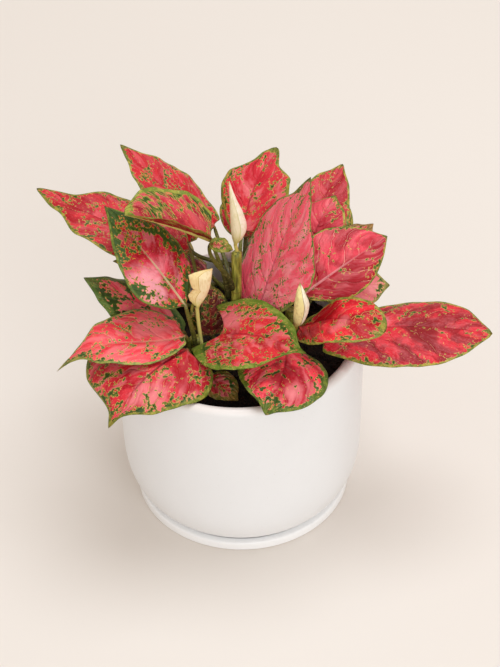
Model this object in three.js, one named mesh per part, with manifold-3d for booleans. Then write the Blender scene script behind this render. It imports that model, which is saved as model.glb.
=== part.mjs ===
// A red Chinese evergreen (Aglaonema) in a round white pot that stands in a shallow saucer.
// Millimetres, +Z up. The origin is the centre of the saucer's underside.
// Each leaf is one solid, blade and stalk together, as it grew, and so is each flower.
// The canes stand in sockets in the soil. What touches keeps a gap of 0.3 mm.
import * as THREE from "three";
import { mergeVertices } from "three/addons/utils/BufferGeometryUtils.js";
import Module from "manifold-3d";

// Driving dimensions
const GAP = 0.3; // between two pieces that touch
const ROUND_SIDES = 48; // facets round the pot and the saucer
const SAUCER = { radius: 80, height: 7.5, wall: 5.6, floor: 3, round: 1.5 }; // round: radius of its edges
const POT = {
  radius: 88, top: 147, wall: 8.5, floor: 8,
  foot: 58.5, // radius of the flat underside
  shoulder: 52.5, // height at which its side becomes upright
  fullness: 2.44, // of the corner between the two: 2 is an ellipse
  drain: 9, // radius of the hole
};
const SOIL = { edge: 122, dome: 4 }; // height at the pot's wall, and how much higher in the middle
const CANE = { sides: 8, depth: 22 }; // depth that a cane stands in the soil
const STALK = { foot: 2.1, neck: 1.3, rise: 0.35, pull: 0.42, follow: 0.4, steps: 7, sides: 8 };
const BLADE = { thickness: 1, edge: 0.35, rib: 1.2, steps: 11 };

// How a blade bends. A leaf's row states only what differs from these.
const USUAL_BEND = {
  roll: 0, // degrees about the line from base to tip
  arch: 8, // rise of the midrib above that line
  peak: 1, // above 1, the arch is highest nearer the tip
  sway: 0, // sideways bow of the midrib
  fold: 10, // degrees that each half rises from the midrib
  camber: 0.25, // how far each half droops again at its edge
  skew: 0, // share by which one half is wider than the other
  slant: 0, // how much nearer the tip that half is widest
  wide: 0.4, // where along the blade it is widest
  full: 0.72, // below 1 gives fuller shoulders
  drip: 0.45, // how much the last stretch narrows into a drip tip
  dripStart: 0.8, // where that stretch starts
  lobe: 0.04, // how far the lower corners reach back beside the stalk
};

// Canes: [x, y] at the soil and at the top, height of the top, radius
const CANES = {
  cane_middle: { low: [-2.5, 4], high: [-0.5, 12], top: 205, radius: 3.7 },
  cane_left: { low: [-28.5, -12], high: [-30.5, -14], top: 150, radius: 5 },
  cane_right: { low: [35.5, 0], high: [37.5, 2], top: 160, radius: 5 },
  cane_front: { low: [11.5, -36], high: [13.5, -38], top: 142, radius: 4.5 },
  cane_back: { low: [5.5, 44], high: [5.5, 50], top: 156, radius: 5 },
};

// Leaves: where the blade starts and ends, its width, its bend, and the cane, height and
// compass angle (degrees from +X) at which its stalk leaves.
const LEAVES = {
  leaf_far_left: {
    base: [-32.5, 17, 202], tip: [-139.5, 60, 227], width: 58,
    bend: {
      roll: 3, arch: 3, sway: -7, fold: 12, camber: 0.2, skew: 0, slant: 0.04, wide: 0.36, full: 0.65,
      drip: 0.42, dripStart: 0.6, lobe: 0,
    },
    stalk: ["cane_left", 136, 82],
  },
  leaf_top_left: {
    base: [-16, 54, 193.5], tip: [-81.5, 91, 241], width: 51,
    bend: {
      roll: -7, arch: 1, sway: -5, fold: 13, skew: 0.14, slant: 0.04, full: 0.66, dripStart: 0.72,
      lobe: 0.08,
    },
    stalk: ["cane_middle", 160, 112],
  },
  leaf_curled: {
    base: [-17.5, 15, 212], tip: [-74.5, 0, 247], width: 52,
    bend: {
      roll: -4, arch: 1, sway: 2, fold: 44, camber: 0.15, skew: 0.22, slant: -0.1, wide: 0.45,
      full: 0.35, drip: 0.4, lobe: 0,
    },
    stalk: ["cane_middle", 166, 165],
  },
  leaf_left_upright: {
    base: [-35.5, -25, 188], tip: [-88.5, 15, 244], width: 54,
    bend: { roll: 5, arch: 1, sway: 1, skew: 0.04, slant: 0.03, wide: 0.39, full: 1, drip: 0.1, lobe: 0 },
    stalk: ["cane_left", 140, -92],
  },
  leaf_left_dark: {
    base: [-38.5, 2, 140], tip: [-107.5, 14, 183], width: 48,
    bend: { roll: 4, arch: 4, skew: -0.15 }, stalk: ["cane_left", 127, 160],
  },
  leaf_left_inner: {
    base: [-21.5, 44, 162], tip: [-89.5, 44, 173], width: 34,
    bend: { roll: 10, arch: 4 }, stalk: ["cane_back", 128, 190],
  },
  leaf_left_low: {
    base: [-36.5, -27, 163], tip: [-125.5, -42, 146], width: 52,
    bend: {
      roll: 6, arch: 18, peak: 1.5, sway: -4, fold: 12, camber: 0.2, skew: 0.19, slant: -0.06,
      wide: 0.34, full: 0.95, drip: 0.6, dripStart: 0.62,
    },
    stalk: ["cane_left", 146, -132],
  },
  leaf_front_left: {
    base: [-35.5, -34, 157], tip: [-87.5, -95, 143], width: 86,
    bend: {
      roll: 5, arch: 8, sway: 2.5, fold: 0, camber: 0.22, skew: 0.16, slant: 0.1, wide: 0.38, full: 0.9,
      drip: 0.65, dripStart: 0.71, lobe: 0.11,
    },
    stalk: ["cane_left", 127, 205],
  },
  leaf_centre: {
    base: [-12.5, -19, 157], tip: [44.5, -70, 183], width: 70,
    bend: {
      roll: -18, arch: 2, sway: -4, fold: 20, camber: 0.12, skew: 0.18, slant: 0.09, wide: 0.3,
      full: 0.8, drip: 0.7, dripStart: 0.74, lobe: 0.32,
    },
    stalk: ["cane_front", 128, 160],
  },
  leaf_front: {
    base: [32.5, -38, 158], tip: [16.5, -97, 154], width: 63,
    bend: { roll: 7, arch: 2, sway: -3, fold: 12, drip: 0.47, dripStart: 0.75, lobe: 0.07 },
    stalk: ["cane_front", 134, -20],
  },
  leaf_tall: {
    base: [14.5, -3, 168], tip: [50.5, 22, 259], width: 90,
    bend: {
      roll: 12, arch: -2, sway: -6, camber: 0.13, skew: 0.16, slant: 0.09, wide: 0.35, full: 0.86,
      drip: 0.35, dripStart: 0.66, lobe: 0.14,
    },
    stalk: ["cane_middle", 146, -40],
  },
  leaf_top: {
    base: [3, 50, 192], tip: [29.5, 105, 226], width: 57,
    bend: {
      roll: 10, arch: 7, fold: 14, camber: 0.18, skew: 0.08, slant: -0.06, wide: 0.44, full: 0.56,
      drip: 0.5, dripStart: 0.6,
    },
    stalk: ["cane_middle", 182, 75],
  },
  leaf_top_right: {
    base: [46.5, 22, 182], tip: [76.5, 88, 222], width: 46,
    bend: { roll: -6, arch: 7, sway: -3, fold: 13, skew: 0.13, slant: -0.07, wide: 0.34, full: 0.61 },
    stalk: ["cane_right", 154, 110],
  },
  leaf_right_inner: {
    base: [48.5, 19, 189], tip: [69.5, 55, 219], width: 38,
    bend: { wide: 0.5 }, stalk: ["cane_right", 150, 58],
  },
  leaf_right_behind: {
    base: [61.5, 48, 165], tip: [71.5, 105, 189], width: 38,
    bend: {}, stalk: ["cane_back", 150, 25],
  },
  leaf_right: {
    base: [44.5, -13, 186], tip: [103.5, 20, 209], width: 53,
    bend: { roll: -30, arch: 3, fold: 12, skew: -0.15, wide: 0.46, full: 0.86, drip: 0.3, dripStart: 0.86 },
    stalk: ["cane_right", 152, -35],
  },
  leaf_right_tip: {
    base: [61.5, 25, 178], tip: [96.5, 50, 197], width: 28,
    bend: { roll: -30, arch: 4 }, stalk: ["cane_right", 146, 8],
  },
  leaf_right_pale: {
    base: [53.5, 27, 158], tip: [108.5, 32, 155], width: 36,
    bend: { roll: -35, arch: 4, wide: 0.5 }, stalk: ["cane_right", 128, 50],
  },
  leaf_right_low: {
    base: [41.5, -20, 163], tip: [97.5, -55, 188], width: 42,
    bend: {
      roll: -24, arch: 9, peak: 1.3, sway: -3, fold: 22, camber: 0.15, skew: 0.2, slant: -0.1,
      wide: 0.57, full: 0.5, drip: 0,
    },
    stalk: ["cane_right", 146, -100],
  },
  leaf_far_right: {
    base: [55.5, -25, 157], tip: [174.5, -25, 157], width: 64,
    bend: {
      roll: -5, arch: 2, sway: -7, fold: 9, skew: 0.13, slant: -0.08, wide: 0.57, full: 0.58, drip: 0.5,
      dripStart: 0.84, lobe: 0.08,
    },
    stalk: ["cane_right", 138, -65],
  },
  leaf_small_front: {
    base: [-22.5, -43, 140], tip: [-1.5, -62, 134], width: 24,
    bend: { roll: -10, arch: 3 }, stalk: ["cane_left", 127, -75],
  },
  leaf_small_twisted: {
    base: [-18.5, 0, 221], tip: [-2.5, -2, 217], width: 12,
    bend: { roll: -30, arch: 3, fold: 25 }, stalk: ["cane_middle", 178, 240],
  },
  leaf_deep: {
    base: [-19.5, 3, 136], tip: [-21.5, 13, 178], width: 30,
    bend: { arch: 2 }, stalk: ["cane_middle", 128, 200],
  },
  leaf_back_1: {
    base: [5.5, 66, 174], tip: [21.5, 128, 182], width: 50,
    bend: { arch: 6 }, stalk: ["cane_back", 152, 95],
  },
  leaf_back_2: {
    base: [35.5, 58, 162], tip: [63.5, 120, 170], width: 48,
    bend: { arch: 6 }, stalk: ["cane_back", 140, 50],
  },
  leaf_back_3: {
    base: [-36.5, 62, 172], tip: [-72.5, 116, 178], width: 44,
    bend: { arch: 6 }, stalk: ["cane_back", 150, 130],
  },
  leaf_back_4: {
    base: [46.5, 43, 150], tip: [93.5, 82, 142], width: 44,
    bend: { arch: 7 }, stalk: ["cane_back", 128, -10],
  },
  leaf_back_5: {
    base: [-44.5, 31, 149], tip: [-88.5, 71, 124], width: 36,
    bend: { arch: 12 }, stalk: ["cane_back", 126, 225],
  },
  leaf_back_6: {
    base: [15.5, 62, 146], tip: [41.5, 127, 130], width: 44,
    bend: { arch: 14 }, stalk: ["cane_back", 130, 85],
  },
  leaf_back_7: {
    base: [-41.5, 53, 152], tip: [-67.5, 118, 136], width: 38,
    bend: { arch: 12 }, stalk: ["cane_back", 138, 146],
  },
};

// Flowers: points up the middle of the stalk and of the rolled spathe, the place along them where
// the spathe starts, and its half widths across and front to back.
const FLOWERS = {
  flower_upright: {
    line: [[-0.3, 12, 205.3], [-1, 12.5, 212], [1, 13, 226], [-1, 13.5, 243], [-3.5, 14, 263]],
    starts: 0.2, stalk: 1.1, across: 5.8, deep: 4.8,
  },
  flower_folded: {
    line: [[-25.1, -18.2, 134], [-26.3, -18.9, 148], [-28, -20.5, 183], [-24.5, -21, 199], [-16.5, -21, 217]],
    starts: 0.56, stalk: 1.5, across: 7.5, deep: 3.5,
  },
  flower_open: {
    line: [[32, -5.2, 130], [32.5, -13, 146], [39, -30, 171], [43, -36, 193.5], [41.5, -36, 215.5]],
    starts: 0.5, stalk: 1.4, across: 5.4, deep: 4.2,
  },
};

const UP = new THREE.Vector3(0, 0, 1);
const radians = THREE.MathUtils.degToRad;
const mix = THREE.MathUtils.lerp;

const plant = new THREE.Group();
const skins = {
  glaze: new THREE.MeshStandardMaterial({ color: 0xeeebe6, roughness: 0.45, metalness: 0 }),
  soil: new THREE.MeshStandardMaterial({ color: 0x1c1512, roughness: 0.95, metalness: 0 }),
  leaf: new THREE.MeshStandardMaterial({ color: 0xcf3d4e, roughness: 0.4, metalness: 0 }),
  cane: new THREE.MeshStandardMaterial({ color: 0x8a8a3c, roughness: 0.5, metalness: 0 }),
  spathe: new THREE.MeshStandardMaterial({ color: 0xe8e0a8, roughness: 0.5, metalness: 0 }),
};

function add(name, geometry, skin) {
  const mesh = new THREE.Mesh(geometry, skin);
  mesh.name = name;
  plant.add(mesh);
}

// ---- Shapes ----

// A closed skin over rings of equally many points, with a fan to one point at each end.
function loft(rings, start, end) {
  const count = rings[0].length;
  const points = [...rings.flat(), start, end];
  const first = points.length - 2;
  const last = points.length - 1;
  const top = (rings.length - 1) * count;
  const faces = [];
  for (let k = 0; k < count; k++) {
    const next = (k + 1) % count;
    for (let row = 0; row < top; row += count) {
      faces.push(row + k, row + next, row + next + count);
      faces.push(row + k, row + next + count, row + k + count);
    }
    faces.push(first, next, k);
    faces.push(last, top + k, top + next);
  }
  const geometry = new THREE.BufferGeometry().setFromPoints(points);
  geometry.setIndex(faces);
  geometry.computeVertexNormals();
  return geometry;
}

// A ring of points about a centre. The loft runs along normal x side.
function ringAbout(centre, side, normal, across, deep, count) {
  const ring = [];
  for (let k = 0; k < count; k++) {
    const angle = Math.PI - (2 * Math.PI * k) / count;
    const point = centre.clone();
    point.addScaledVector(side, across * Math.cos(angle));
    point.addScaledVector(normal, deep * Math.sin(angle));
    ring.push(point);
  }
  return ring;
}

// A piece turned about +Z from an outline of [radius, height] points.
function turned(outline) {
  const profile = outline.map(([r, z]) => new THREE.Vector2(r, z));
  const geometry = new THREE.LatheGeometry(profile, ROUND_SIDES);
  geometry.rotateX(Math.PI / 2);
  geometry.deleteAttribute("normal");
  geometry.deleteAttribute("uv");
  return mergeVertices(geometry, 1e-3);
}

// Points on an arc about [r, z], from one angle to another in degrees. It is an ellipse at a fullness
// of 2, and its corner is fuller above that.
function arc(r, z, radiusR, radiusZ, from, to, steps, fullness = 2) {
  const bow = (x) => Math.sign(x) * Math.abs(x) ** (2 / fullness);
  const points = [];
  for (let i = 0; i <= steps; i++) {
    const angle = radians(mix(from, to, i / steps));
    points.push([r + radiusR * bow(Math.cos(angle)), z + radiusZ * bow(Math.sin(angle))]);
  }
  return points;
}

// ---- Pot, saucer and soil ----

const potBottom = SAUCER.floor + GAP;
const potInside = POT.radius - POT.wall;
const soilRadius = potInside - GAP;

function addSaucer() {
  const { radius, height, wall, floor, round } = SAUCER;
  const inside = radius - wall;
  const crease = round / 2;
  const outline = [
    [0, 0],
    [radius - round, 0],
    ...arc(radius - round, round, round, round, -60, 0, 2),
    ...arc(radius - round, height - round, round, round, 0, 90, 3),
    ...arc(inside + crease, height - crease, crease, crease, 90, 180, 2),
    [inside, floor],
    [0, floor],
  ];
  add("saucer", turned(outline), skins.glaze);
}

function addPot() {
  const { radius, top, wall, foot, shoulder, fullness, floor, drain } = POT;
  const lip = wall / 2;
  const bulge = radius - foot;
  const outline = [
    [drain, potBottom],
    ...arc(foot, shoulder, bulge, shoulder - potBottom, -90, 0, 8, fullness),
    ...arc(radius - lip, top - lip, lip, lip, 0, 180, 5),
    ...arc(foot - wall, shoulder, bulge, shoulder - potBottom - floor, 0, -90, 5, fullness),
    [drain, potBottom + floor],
    [drain, potBottom],
  ];
  add("pot", turned(outline), skins.glaze);
}

function soilHeight(r) {
  return SOIL.edge + SOIL.dome * (1 - (r / soilRadius) ** 2);
}

function soilOutline() {
  const { wall, foot, shoulder, fullness, floor } = POT;
  const bottom = potBottom + floor + GAP;
  const low = foot - wall - GAP;
  return [
    [0, bottom],
    ...arc(low, shoulder, soilRadius - low, shoulder - bottom, -90, 0, 5, fullness),
    [soilRadius, soilHeight(soilRadius)],
    [soilRadius * 0.6, soilHeight(soilRadius * 0.6)],
    [0, soilHeight(0)],
  ];
}

const manifold = await Module();
manifold.setup();

function toSolid(geometry) {
  const vertProperties = new Float32Array(geometry.attributes.position.array);
  const triVerts = new Uint32Array(geometry.index.array);
  return new manifold.Manifold(new manifold.Mesh({ numProp: 3, vertProperties, triVerts }));
}

function toGeometry(solid) {
  const mesh = solid.getMesh();
  const geometry = new THREE.BufferGeometry();
  geometry.setAttribute("position", new THREE.BufferAttribute(mesh.vertProperties, 3));
  geometry.setIndex(new THREE.BufferAttribute(mesh.triVerts, 1));
  geometry.computeVertexNormals();
  return geometry;
}

function addSoil() {
  let soil = toSolid(turned(soilOutline()));
  for (const cane of Object.values(CANES)) {
    soil = soil.subtract(toSolid(caneSolid(cane, GAP)));
  }
  add("soil", toGeometry(soil), skins.soil);
}

// ---- Canes ----

const caneFoot = SOIL.edge - CANE.depth;

function canePoint(cane, height) {
  const share = (height - SOIL.edge) / (cane.top - SOIL.edge);
  const x = mix(cane.low[0], cane.high[0], share);
  const y = mix(cane.low[1], cane.high[1], share);
  return new THREE.Vector3(x, y, height);
}

// A cane from its foot in the soil to its top, or the socket for it, which is larger all round.
function caneSolid(cane, extra = 0) {
  const ends = [caneFoot - extra, cane.top];
  const side = new THREE.Vector3(1, 0, 0);
  const normal = new THREE.Vector3(0, -1, 0);
  const radius = cane.radius + extra;
  const rings = ends.map((z) => ringAbout(canePoint(cane, z), side, normal, radius, radius, CANE.sides));
  return loft(rings, canePoint(cane, ends[0]), canePoint(cane, ends[1]));
}

// ---- Leaves ----

function smoothStep(low, high, x) {
  return THREE.MathUtils.smoothstep(x, low, high);
}

// Share of the full width at u, where u runs from 0 at the base to 1 at the tip, on one side.
function widthAt(u, bend, side) {
  const power = Math.log(0.5) / Math.log(bend.wide + bend.slant * side);
  const oval = Math.max(Math.sin(Math.PI * u ** power), 0) ** bend.full;
  return oval * (1 - bend.drip * smoothStep(bend.dripStart, bend.dripStart + 0.2, u));
}

// The blade as functions of u along it and v across it, where v runs from -1 to 1.
function makeBlade(leaf) {
  const bend = { ...USUAL_BEND, ...leaf.bend };
  const base = new THREE.Vector3(...leaf.base);
  const reach = new THREE.Vector3(...leaf.tip).sub(base);
  const length = reach.length();
  const along = reach.clone().normalize();
  const level = along.clone().cross(UP).normalize();
  const side = level.clone().applyAxisAngle(along, -radians(bend.roll));
  const normal = side.clone().cross(along);

  function midrib(u) {
    const point = base.clone().addScaledVector(reach, u);
    point.addScaledVector(normal, bend.arch * Math.sin(Math.PI * u ** bend.peak));
    return point.addScaledVector(side, bend.sway * Math.sin(Math.PI * u));
  }

  function direction(u) {
    const step = 0.001;
    return midrib(Math.min(u + step, 1)).sub(midrib(Math.max(u - step, 0))).normalize();
  }

  function surface(u, v, offset) {
    const tangent = direction(u);
    const across = side.clone().addScaledVector(tangent, -side.dot(tangent)).normalize();
    const out = across.clone().cross(tangent);
    const half = (leaf.width / 2) * widthAt(u, bend, Math.sign(v)) * (1 + bend.skew * Math.sign(v));
    const lift = Math.abs(v) * Math.sin(radians(bend.fold)) - bend.camber * v * v;
    const back = bend.lobe * length * Math.abs(v) ** 1.5 * smoothStep(0, 0.06, u) * (1 - u) ** 5;
    const point = midrib(u).addScaledVector(tangent, -back);
    point.addScaledVector(across, half * v * Math.cos(radians(bend.fold)));
    return point.addScaledVector(out, half * lift + offset);
  }

  return { midrib, direction, surface, side, tip: new THREE.Vector3(...leaf.tip), base };
}

// The stalk's line leaves the cane upright and arrives nearly upright, leaning the way that it has
// come and the way that the blade goes.
function stalkLine(leaf, blade) {
  const [caneName, height, compass] = leaf.stalk;
  const cane = CANES[caneName];
  const outward = new THREE.Vector3(1, 0, 0).applyAxisAngle(UP, radians(compass));
  const start = canePoint(cane, height).addScaledVector(outward, cane.radius + GAP + STALK.foot);
  const span = start.distanceTo(blade.base);
  const leave = start.clone().addScaledVector(UP, span * STALK.rise);
  const lean = blade.base.clone().sub(start).divideScalar(span).add(blade.direction(0.02));
  lean.multiplyScalar(STALK.follow).add(UP).normalize();
  const arrive = blade.base.clone().addScaledVector(lean, -span * STALK.pull);
  return new THREE.CubicBezierCurve3(start, leave, arrive, blade.base);
}

function stalkRings(line, side) {
  const rings = [];
  for (let i = 0; i < STALK.steps; i++) {
    const t = i / STALK.steps;
    const tangent = line.getTangent(t);
    const across = side.clone().addScaledVector(tangent, -side.dot(tangent)).normalize();
    const out = across.clone().cross(tangent);
    const radius = mix(STALK.foot, STALK.neck, t);
    rings.push(ringAbout(line.getPoint(t), across, out, radius, radius, STALK.sides));
  }
  return rings;
}

// Eight points round the blade at u: its upper face from edge to edge, then back underneath.
function bladeRing(blade, u) {
  const thin = u < 0.02 ? 1 : BLADE.edge + (1 - BLADE.edge) * Math.sin(Math.PI * Math.max(u, 0.03) ** 0.6);
  const half = (BLADE.thickness * thin) / 2;
  const rib = BLADE.rib * (1 - u);
  const upper = [-1, -0.5, 0, 0.5, 1].map((v) => blade.surface(u, v, Math.abs(v) === 1 ? 0 : half));
  const under = [0.5, 0, -0.5].map((v) => blade.surface(u, v, -half - (v === 0 ? rib : 0)));
  return [...upper, ...under];
}

function leafSolid(leaf) {
  const blade = makeBlade(leaf);
  const line = stalkLine(leaf, blade);
  const rings = stalkRings(line, blade.side);
  for (let i = 0; i < BLADE.steps; i++) {
    rings.push(bladeRing(blade, Math.max((i / BLADE.steps) ** 1.15, 0.012)));
  }
  return loft(rings, line.getPoint(0), blade.tip);
}

// ---- Flowers ----

function flowerSolid({ line, starts, stalk, across, deep }) {
  const curve = new THREE.CatmullRomCurve3(line.map((point) => new THREE.Vector3(...point)));
  const side = new THREE.Vector3(1, 0, 0);
  const rings = [];
  const stalkSteps = 5;
  const spatheSteps = 7;
  for (let i = 0; i < stalkSteps + spatheSteps; i++) {
    const onStalk = i < stalkSteps;
    const share = onStalk ? 0 : (i - stalkSteps + 0.5) / spatheSteps;
    const t = onStalk ? (starts * i) / stalkSteps : mix(starts, 1, share);
    const swell = Math.sin(Math.PI * share ** 0.5) ** 1.1;
    const tangent = curve.getTangent(t);
    const level = side.clone().addScaledVector(tangent, -side.dot(tangent)).normalize();
    const out = level.clone().cross(tangent);
    const wide = mix(onStalk ? stalk : 0.5, across, swell);
    const thick = mix(onStalk ? stalk : 0.5, deep, swell);
    rings.push(ringAbout(curve.getPoint(t), level, out, wide, thick, STALK.sides));
  }
  return loft(rings, curve.getPoint(0), curve.getPoint(1));
}

// ---- Assembly ----

addSaucer();
addPot();
addSoil();
for (const [name, cane] of Object.entries(CANES)) {
  add(name, caneSolid(cane), skins.cane);
}
for (const [name, leaf] of Object.entries(LEAVES)) {
  add(name, leafSolid(leaf), skins.leaf);
}
for (const [name, flower] of Object.entries(FLOWERS)) {
  add(name, flowerSolid(flower), skins.spathe);
}

export default plant;
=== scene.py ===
# %% [markdown]
# # A potted Chinese evergreen
# This lesson models a red Aglaonema in a white glazed pot. A packed CAD model already fixes where every
# piece is and how big it is. Blender's job is the look: smooth turned pottery, lumpy potting mix, and
# thin leaves whose edges ripple and whose skin is speckled with green. The CAD model is read first, and
# each piece made later hides the CAD piece it replaces.

# %% Load the fixed frame
import math
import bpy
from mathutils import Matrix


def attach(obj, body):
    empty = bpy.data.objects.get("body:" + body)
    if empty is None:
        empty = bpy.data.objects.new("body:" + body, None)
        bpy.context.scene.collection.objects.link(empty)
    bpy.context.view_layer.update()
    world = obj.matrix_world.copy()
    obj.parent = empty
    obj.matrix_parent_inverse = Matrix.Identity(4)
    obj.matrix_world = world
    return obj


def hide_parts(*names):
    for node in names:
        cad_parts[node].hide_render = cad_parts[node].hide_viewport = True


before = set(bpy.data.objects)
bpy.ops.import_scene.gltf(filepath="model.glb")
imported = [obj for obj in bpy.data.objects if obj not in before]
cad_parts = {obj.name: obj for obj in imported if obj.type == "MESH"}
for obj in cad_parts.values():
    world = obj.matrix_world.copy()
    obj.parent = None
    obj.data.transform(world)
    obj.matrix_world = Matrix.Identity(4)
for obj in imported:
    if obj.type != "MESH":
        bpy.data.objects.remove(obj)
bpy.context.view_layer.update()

from types import SimpleNamespace

import bpy
import numpy as np
from mathutils import Matrix, Vector, noise

print("CAD nodes:", len(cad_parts))
MM = 0.001

# %% [markdown]
# ## Camera
# A plant like this is seen from a standing height across a table, so the view looks down at about forty
# degrees. A long lens keeps the pot's taper gentle. The camera is built from an aim point, a distance
# and an elevation, because those three are easy to reason about and to adjust one at a time.

# %% Camera
AIM = Vector((7.5, 0, 140)) * MM
DISTANCE = 1.114
ELEVATION = math.radians(41.5)
ROLL = math.radians(-1.27)

camera_data = bpy.data.cameras.new("camera")
camera_data.lens = 85
camera_data.sensor_width = 36
camera = bpy.data.objects.new("camera", camera_data)
bpy.context.scene.collection.objects.link(camera)
tilt = Matrix.Rotation(math.pi / 2 - ELEVATION, 4, "X")
back = Vector((0, -math.cos(ELEVATION), math.sin(ELEVATION)))
camera.matrix_world = Matrix.Translation(AIM + back * DISTANCE) @ tilt @ Matrix.Rotation(ROLL, 4, "Z")
bpy.context.scene.camera = camera
print("camera at", [round(x, 3) for x in camera.matrix_world.translation])

# %% [markdown]
# ## Wiring nodes
# Every finish here is procedural: colour, roughness and bump come from noise and from numbers stored on
# the mesh. Wiring dozens of nodes by hand hides the idea, so a small class does it. Each method adds one
# node, plugs in sockets or plain values, and hands back the new node's output for the next step.

# %% Node helpers
class Wiring:
    """A node tree, grown a node at a time."""

    def __init__(self, tree):
        self.tree = tree

    def plug(self, socket, value):
        if isinstance(value, bpy.types.NodeSocket):
            self.tree.links.new(value, socket)
        elif value is not None:
            socket.default_value = value

    def node(self, kind, values=(), output=0, **settings):
        """A node of this kind, with values for its first inputs and for its settings."""
        made = self.tree.nodes.new(kind)
        for key, value in settings.items():
            setattr(made, key, value)
        for socket, value in zip(made.inputs, values):
            self.plug(socket, value)
        return made.outputs[output]

    def maths(self, operation, *values):
        return self.node("ShaderNodeMath", values, operation=operation)

    def add(self, *values):
        total = values[0]
        for value in values[1:]:
            total = self.maths("ADD", total, value)
        return total

    def times(self, a, b):
        return self.maths("MULTIPLY", a, b)

    def gap(self, a, b):
        """How far a is from b, either way."""
        return self.maths("ABSOLUTE", self.maths("SUBTRACT", a, b))

    def fade(self, value, low, high, start=0.0, end=1.0):
        """A smooth step from start to end as the value goes from low to high."""
        limits = (value, low, high, start, end)
        return self.node("ShaderNodeMapRange", limits, interpolation_type="SMOOTHSTEP")

    def stored(self, name):
        return self.node("ShaderNodeAttribute", output=1, attribute_name=name)

    def split(self, vector):
        made = self.tree.nodes.new("ShaderNodeSeparateXYZ")
        self.plug(made.inputs[0], vector)
        return made.outputs[0], made.outputs[1], made.outputs[2]

    def join(self, x, y, z):
        return self.node("ShaderNodeCombineXYZ", (x, y, z))


print("ways to wire:", [name for name in vars(Wiring) if not name.startswith("_")])

# %% [markdown]
# ## Making finishes
# A finish is a material with one Principled surface. Its colours are written as codes, as a designer
# writes them, and turned into the linear numbers that a renderer adds up. Noise is given by the size of
# its lumps, since a maker thinks in millimetres and not in frequencies.

# %% Finish helpers
def colour(code):
    """A linear colour from a #rrggbb code."""
    parts = [int(code[i : i + 2], 16) / 255 for i in (1, 3, 5)]
    linear = [p / 12.92 if p <= 0.04045 else ((p + 0.055) / 1.055) ** 2.4 for p in parts]
    return (*linear, 1.0)


class Finish(Wiring):
    """A material with one Principled surface."""

    def __init__(self, name):
        self.material = bpy.data.materials.new(name)
        self.material.use_nodes = True
        super().__init__(self.material.node_tree)
        self.tree.nodes.clear()
        self.surface = self.tree.nodes.new("ShaderNodeBsdfPrincipled")
        output = self.tree.nodes.new("ShaderNodeOutputMaterial")
        self.tree.links.new(self.surface.outputs[0], output.inputs[0])

    def mix(self, share, a, b):
        made = self.tree.nodes.new("ShaderNodeMix")
        made.data_type = "RGBA"
        for index, value in ((0, share), (6, a), (7, b)):
            self.plug(made.inputs[index], value)
        return made.outputs[2]

    def ramp(self, value, stops):
        made = self.tree.nodes.new("ShaderNodeValToRGB")
        self.plug(made.inputs[0], value)
        points = made.color_ramp.elements
        while len(points) < len(stops):
            points.new(0.5)
        for point, (position, code) in zip(points, stops):
            point.position = position
            point.color = colour(code)
        return made.outputs[0]

    def noise(self, place, size, detail=2.0, roughness=0.5, distortion=0.0):
        """Cloudy noise whose lumps are about size across, in the units of place."""
        made = self.tree.nodes.new("ShaderNodeTexNoise")
        settings = {"Vector": place, "Scale": 1 / size, "Detail": detail}
        settings.update({"Roughness": roughness, "Distortion": distortion})
        for key, value in settings.items():
            self.plug(made.inputs[key], value)
        return made.outputs[0]

    def bump(self, height, depth, before=None):
        """Relief of the given depth in metres."""
        made = self.tree.nodes.new("ShaderNodeBump")
        settings = {"Strength": 1.0, "Distance": depth, "Height": height, "Normal": before}
        for key, value in settings.items():
            self.plug(made.inputs[key], value)
        return made.outputs[0]

    def wear(self, **sockets):
        """Sets the surface's sockets, named with underscores for spaces."""
        for key, value in sockets.items():
            self.plug(self.surface.inputs[key.replace("_", " ")], value)
        return self.material


print("mid grey in linear light:", round(colour("#808080")[0], 3))

# %% [markdown]
# ## Making meshes
# Most pieces here are a row of rings joined by quads, and a fan to one point closes each end, so each is a
# sealed body with no stray edge. One function makes the faces of them all. Blender's own primitives would
# need bending into shape afterwards. Each piece is then tied to the plant's one body.

# %% Mesh helpers
def make_mesh(name, points, faces, finish):
    """A smooth-shaded piece from points in millimetres, riding on the one body."""
    mesh = bpy.data.meshes.new(name)
    mesh.from_pydata((np.asarray(points) * MM).tolist(), [], faces)
    mesh.update()
    mesh.shade_smooth()
    mesh.materials.append(finish)
    piece = bpy.data.objects.new(name, mesh)
    bpy.context.scene.collection.objects.link(piece)
    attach(piece, "root")
    return piece


def ring_faces(rows, count):
    """Quads between rows of count points each, and a fan to a point at each end."""
    faces = []
    for row in range(rows - 1):
        for k in range(count):
            a = row * count + k
            b = row * count + (k + 1) % count
            faces.append((a, b, b + count, a + count))
    first = rows * count
    top = (rows - 1) * count
    for k in range(count):
        following = (k + 1) % count
        faces.append((first, following, k))
        faces.append((first + 1, top + k, top + following))
    return faces


print("a tube of 2 rings and 8 sides has", len(ring_faces(2, 8)), "faces")

# %% [markdown]
# ## White glaze
# The pot is stoneware under an opaque white glaze with a satin surface. Its white drifts faintly between
# two tones. A warm band is painted at the pot's lip as painted reflection of the red leaves, and another at
# the saucer's foot as painted shade by the floor. The saucer's whites are lighter than the pot's, painted
# light against the shade under the pot's shoulder. The glaze carries faint iron specks, and it is very
# slightly uneven, which softens the reflections. Height and noise give the band, the specks and the
# unevenness. The sizes of the pottery come first, in the CAD model's own numbers.

# %% Glaze finish
SAUCER = {
    "radius": 80,
    "height": 7.5,
    "wall": 5.6,  # width of its rim
    "floor": 3,
    "round": 1.5,  # radius of its rounded edges
}
POT = {
    "radius": 88,
    "top": 147,
    "wall": 8.5,
    "floor": 8,
    "foot": 58.5,  # radius of the flat underside
    "shoulder": 52.5,  # height at which its side becomes upright
    "fullness": 2.44,  # of the corner between the two
    "drain": 9,  # radius of the hole
}


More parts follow.
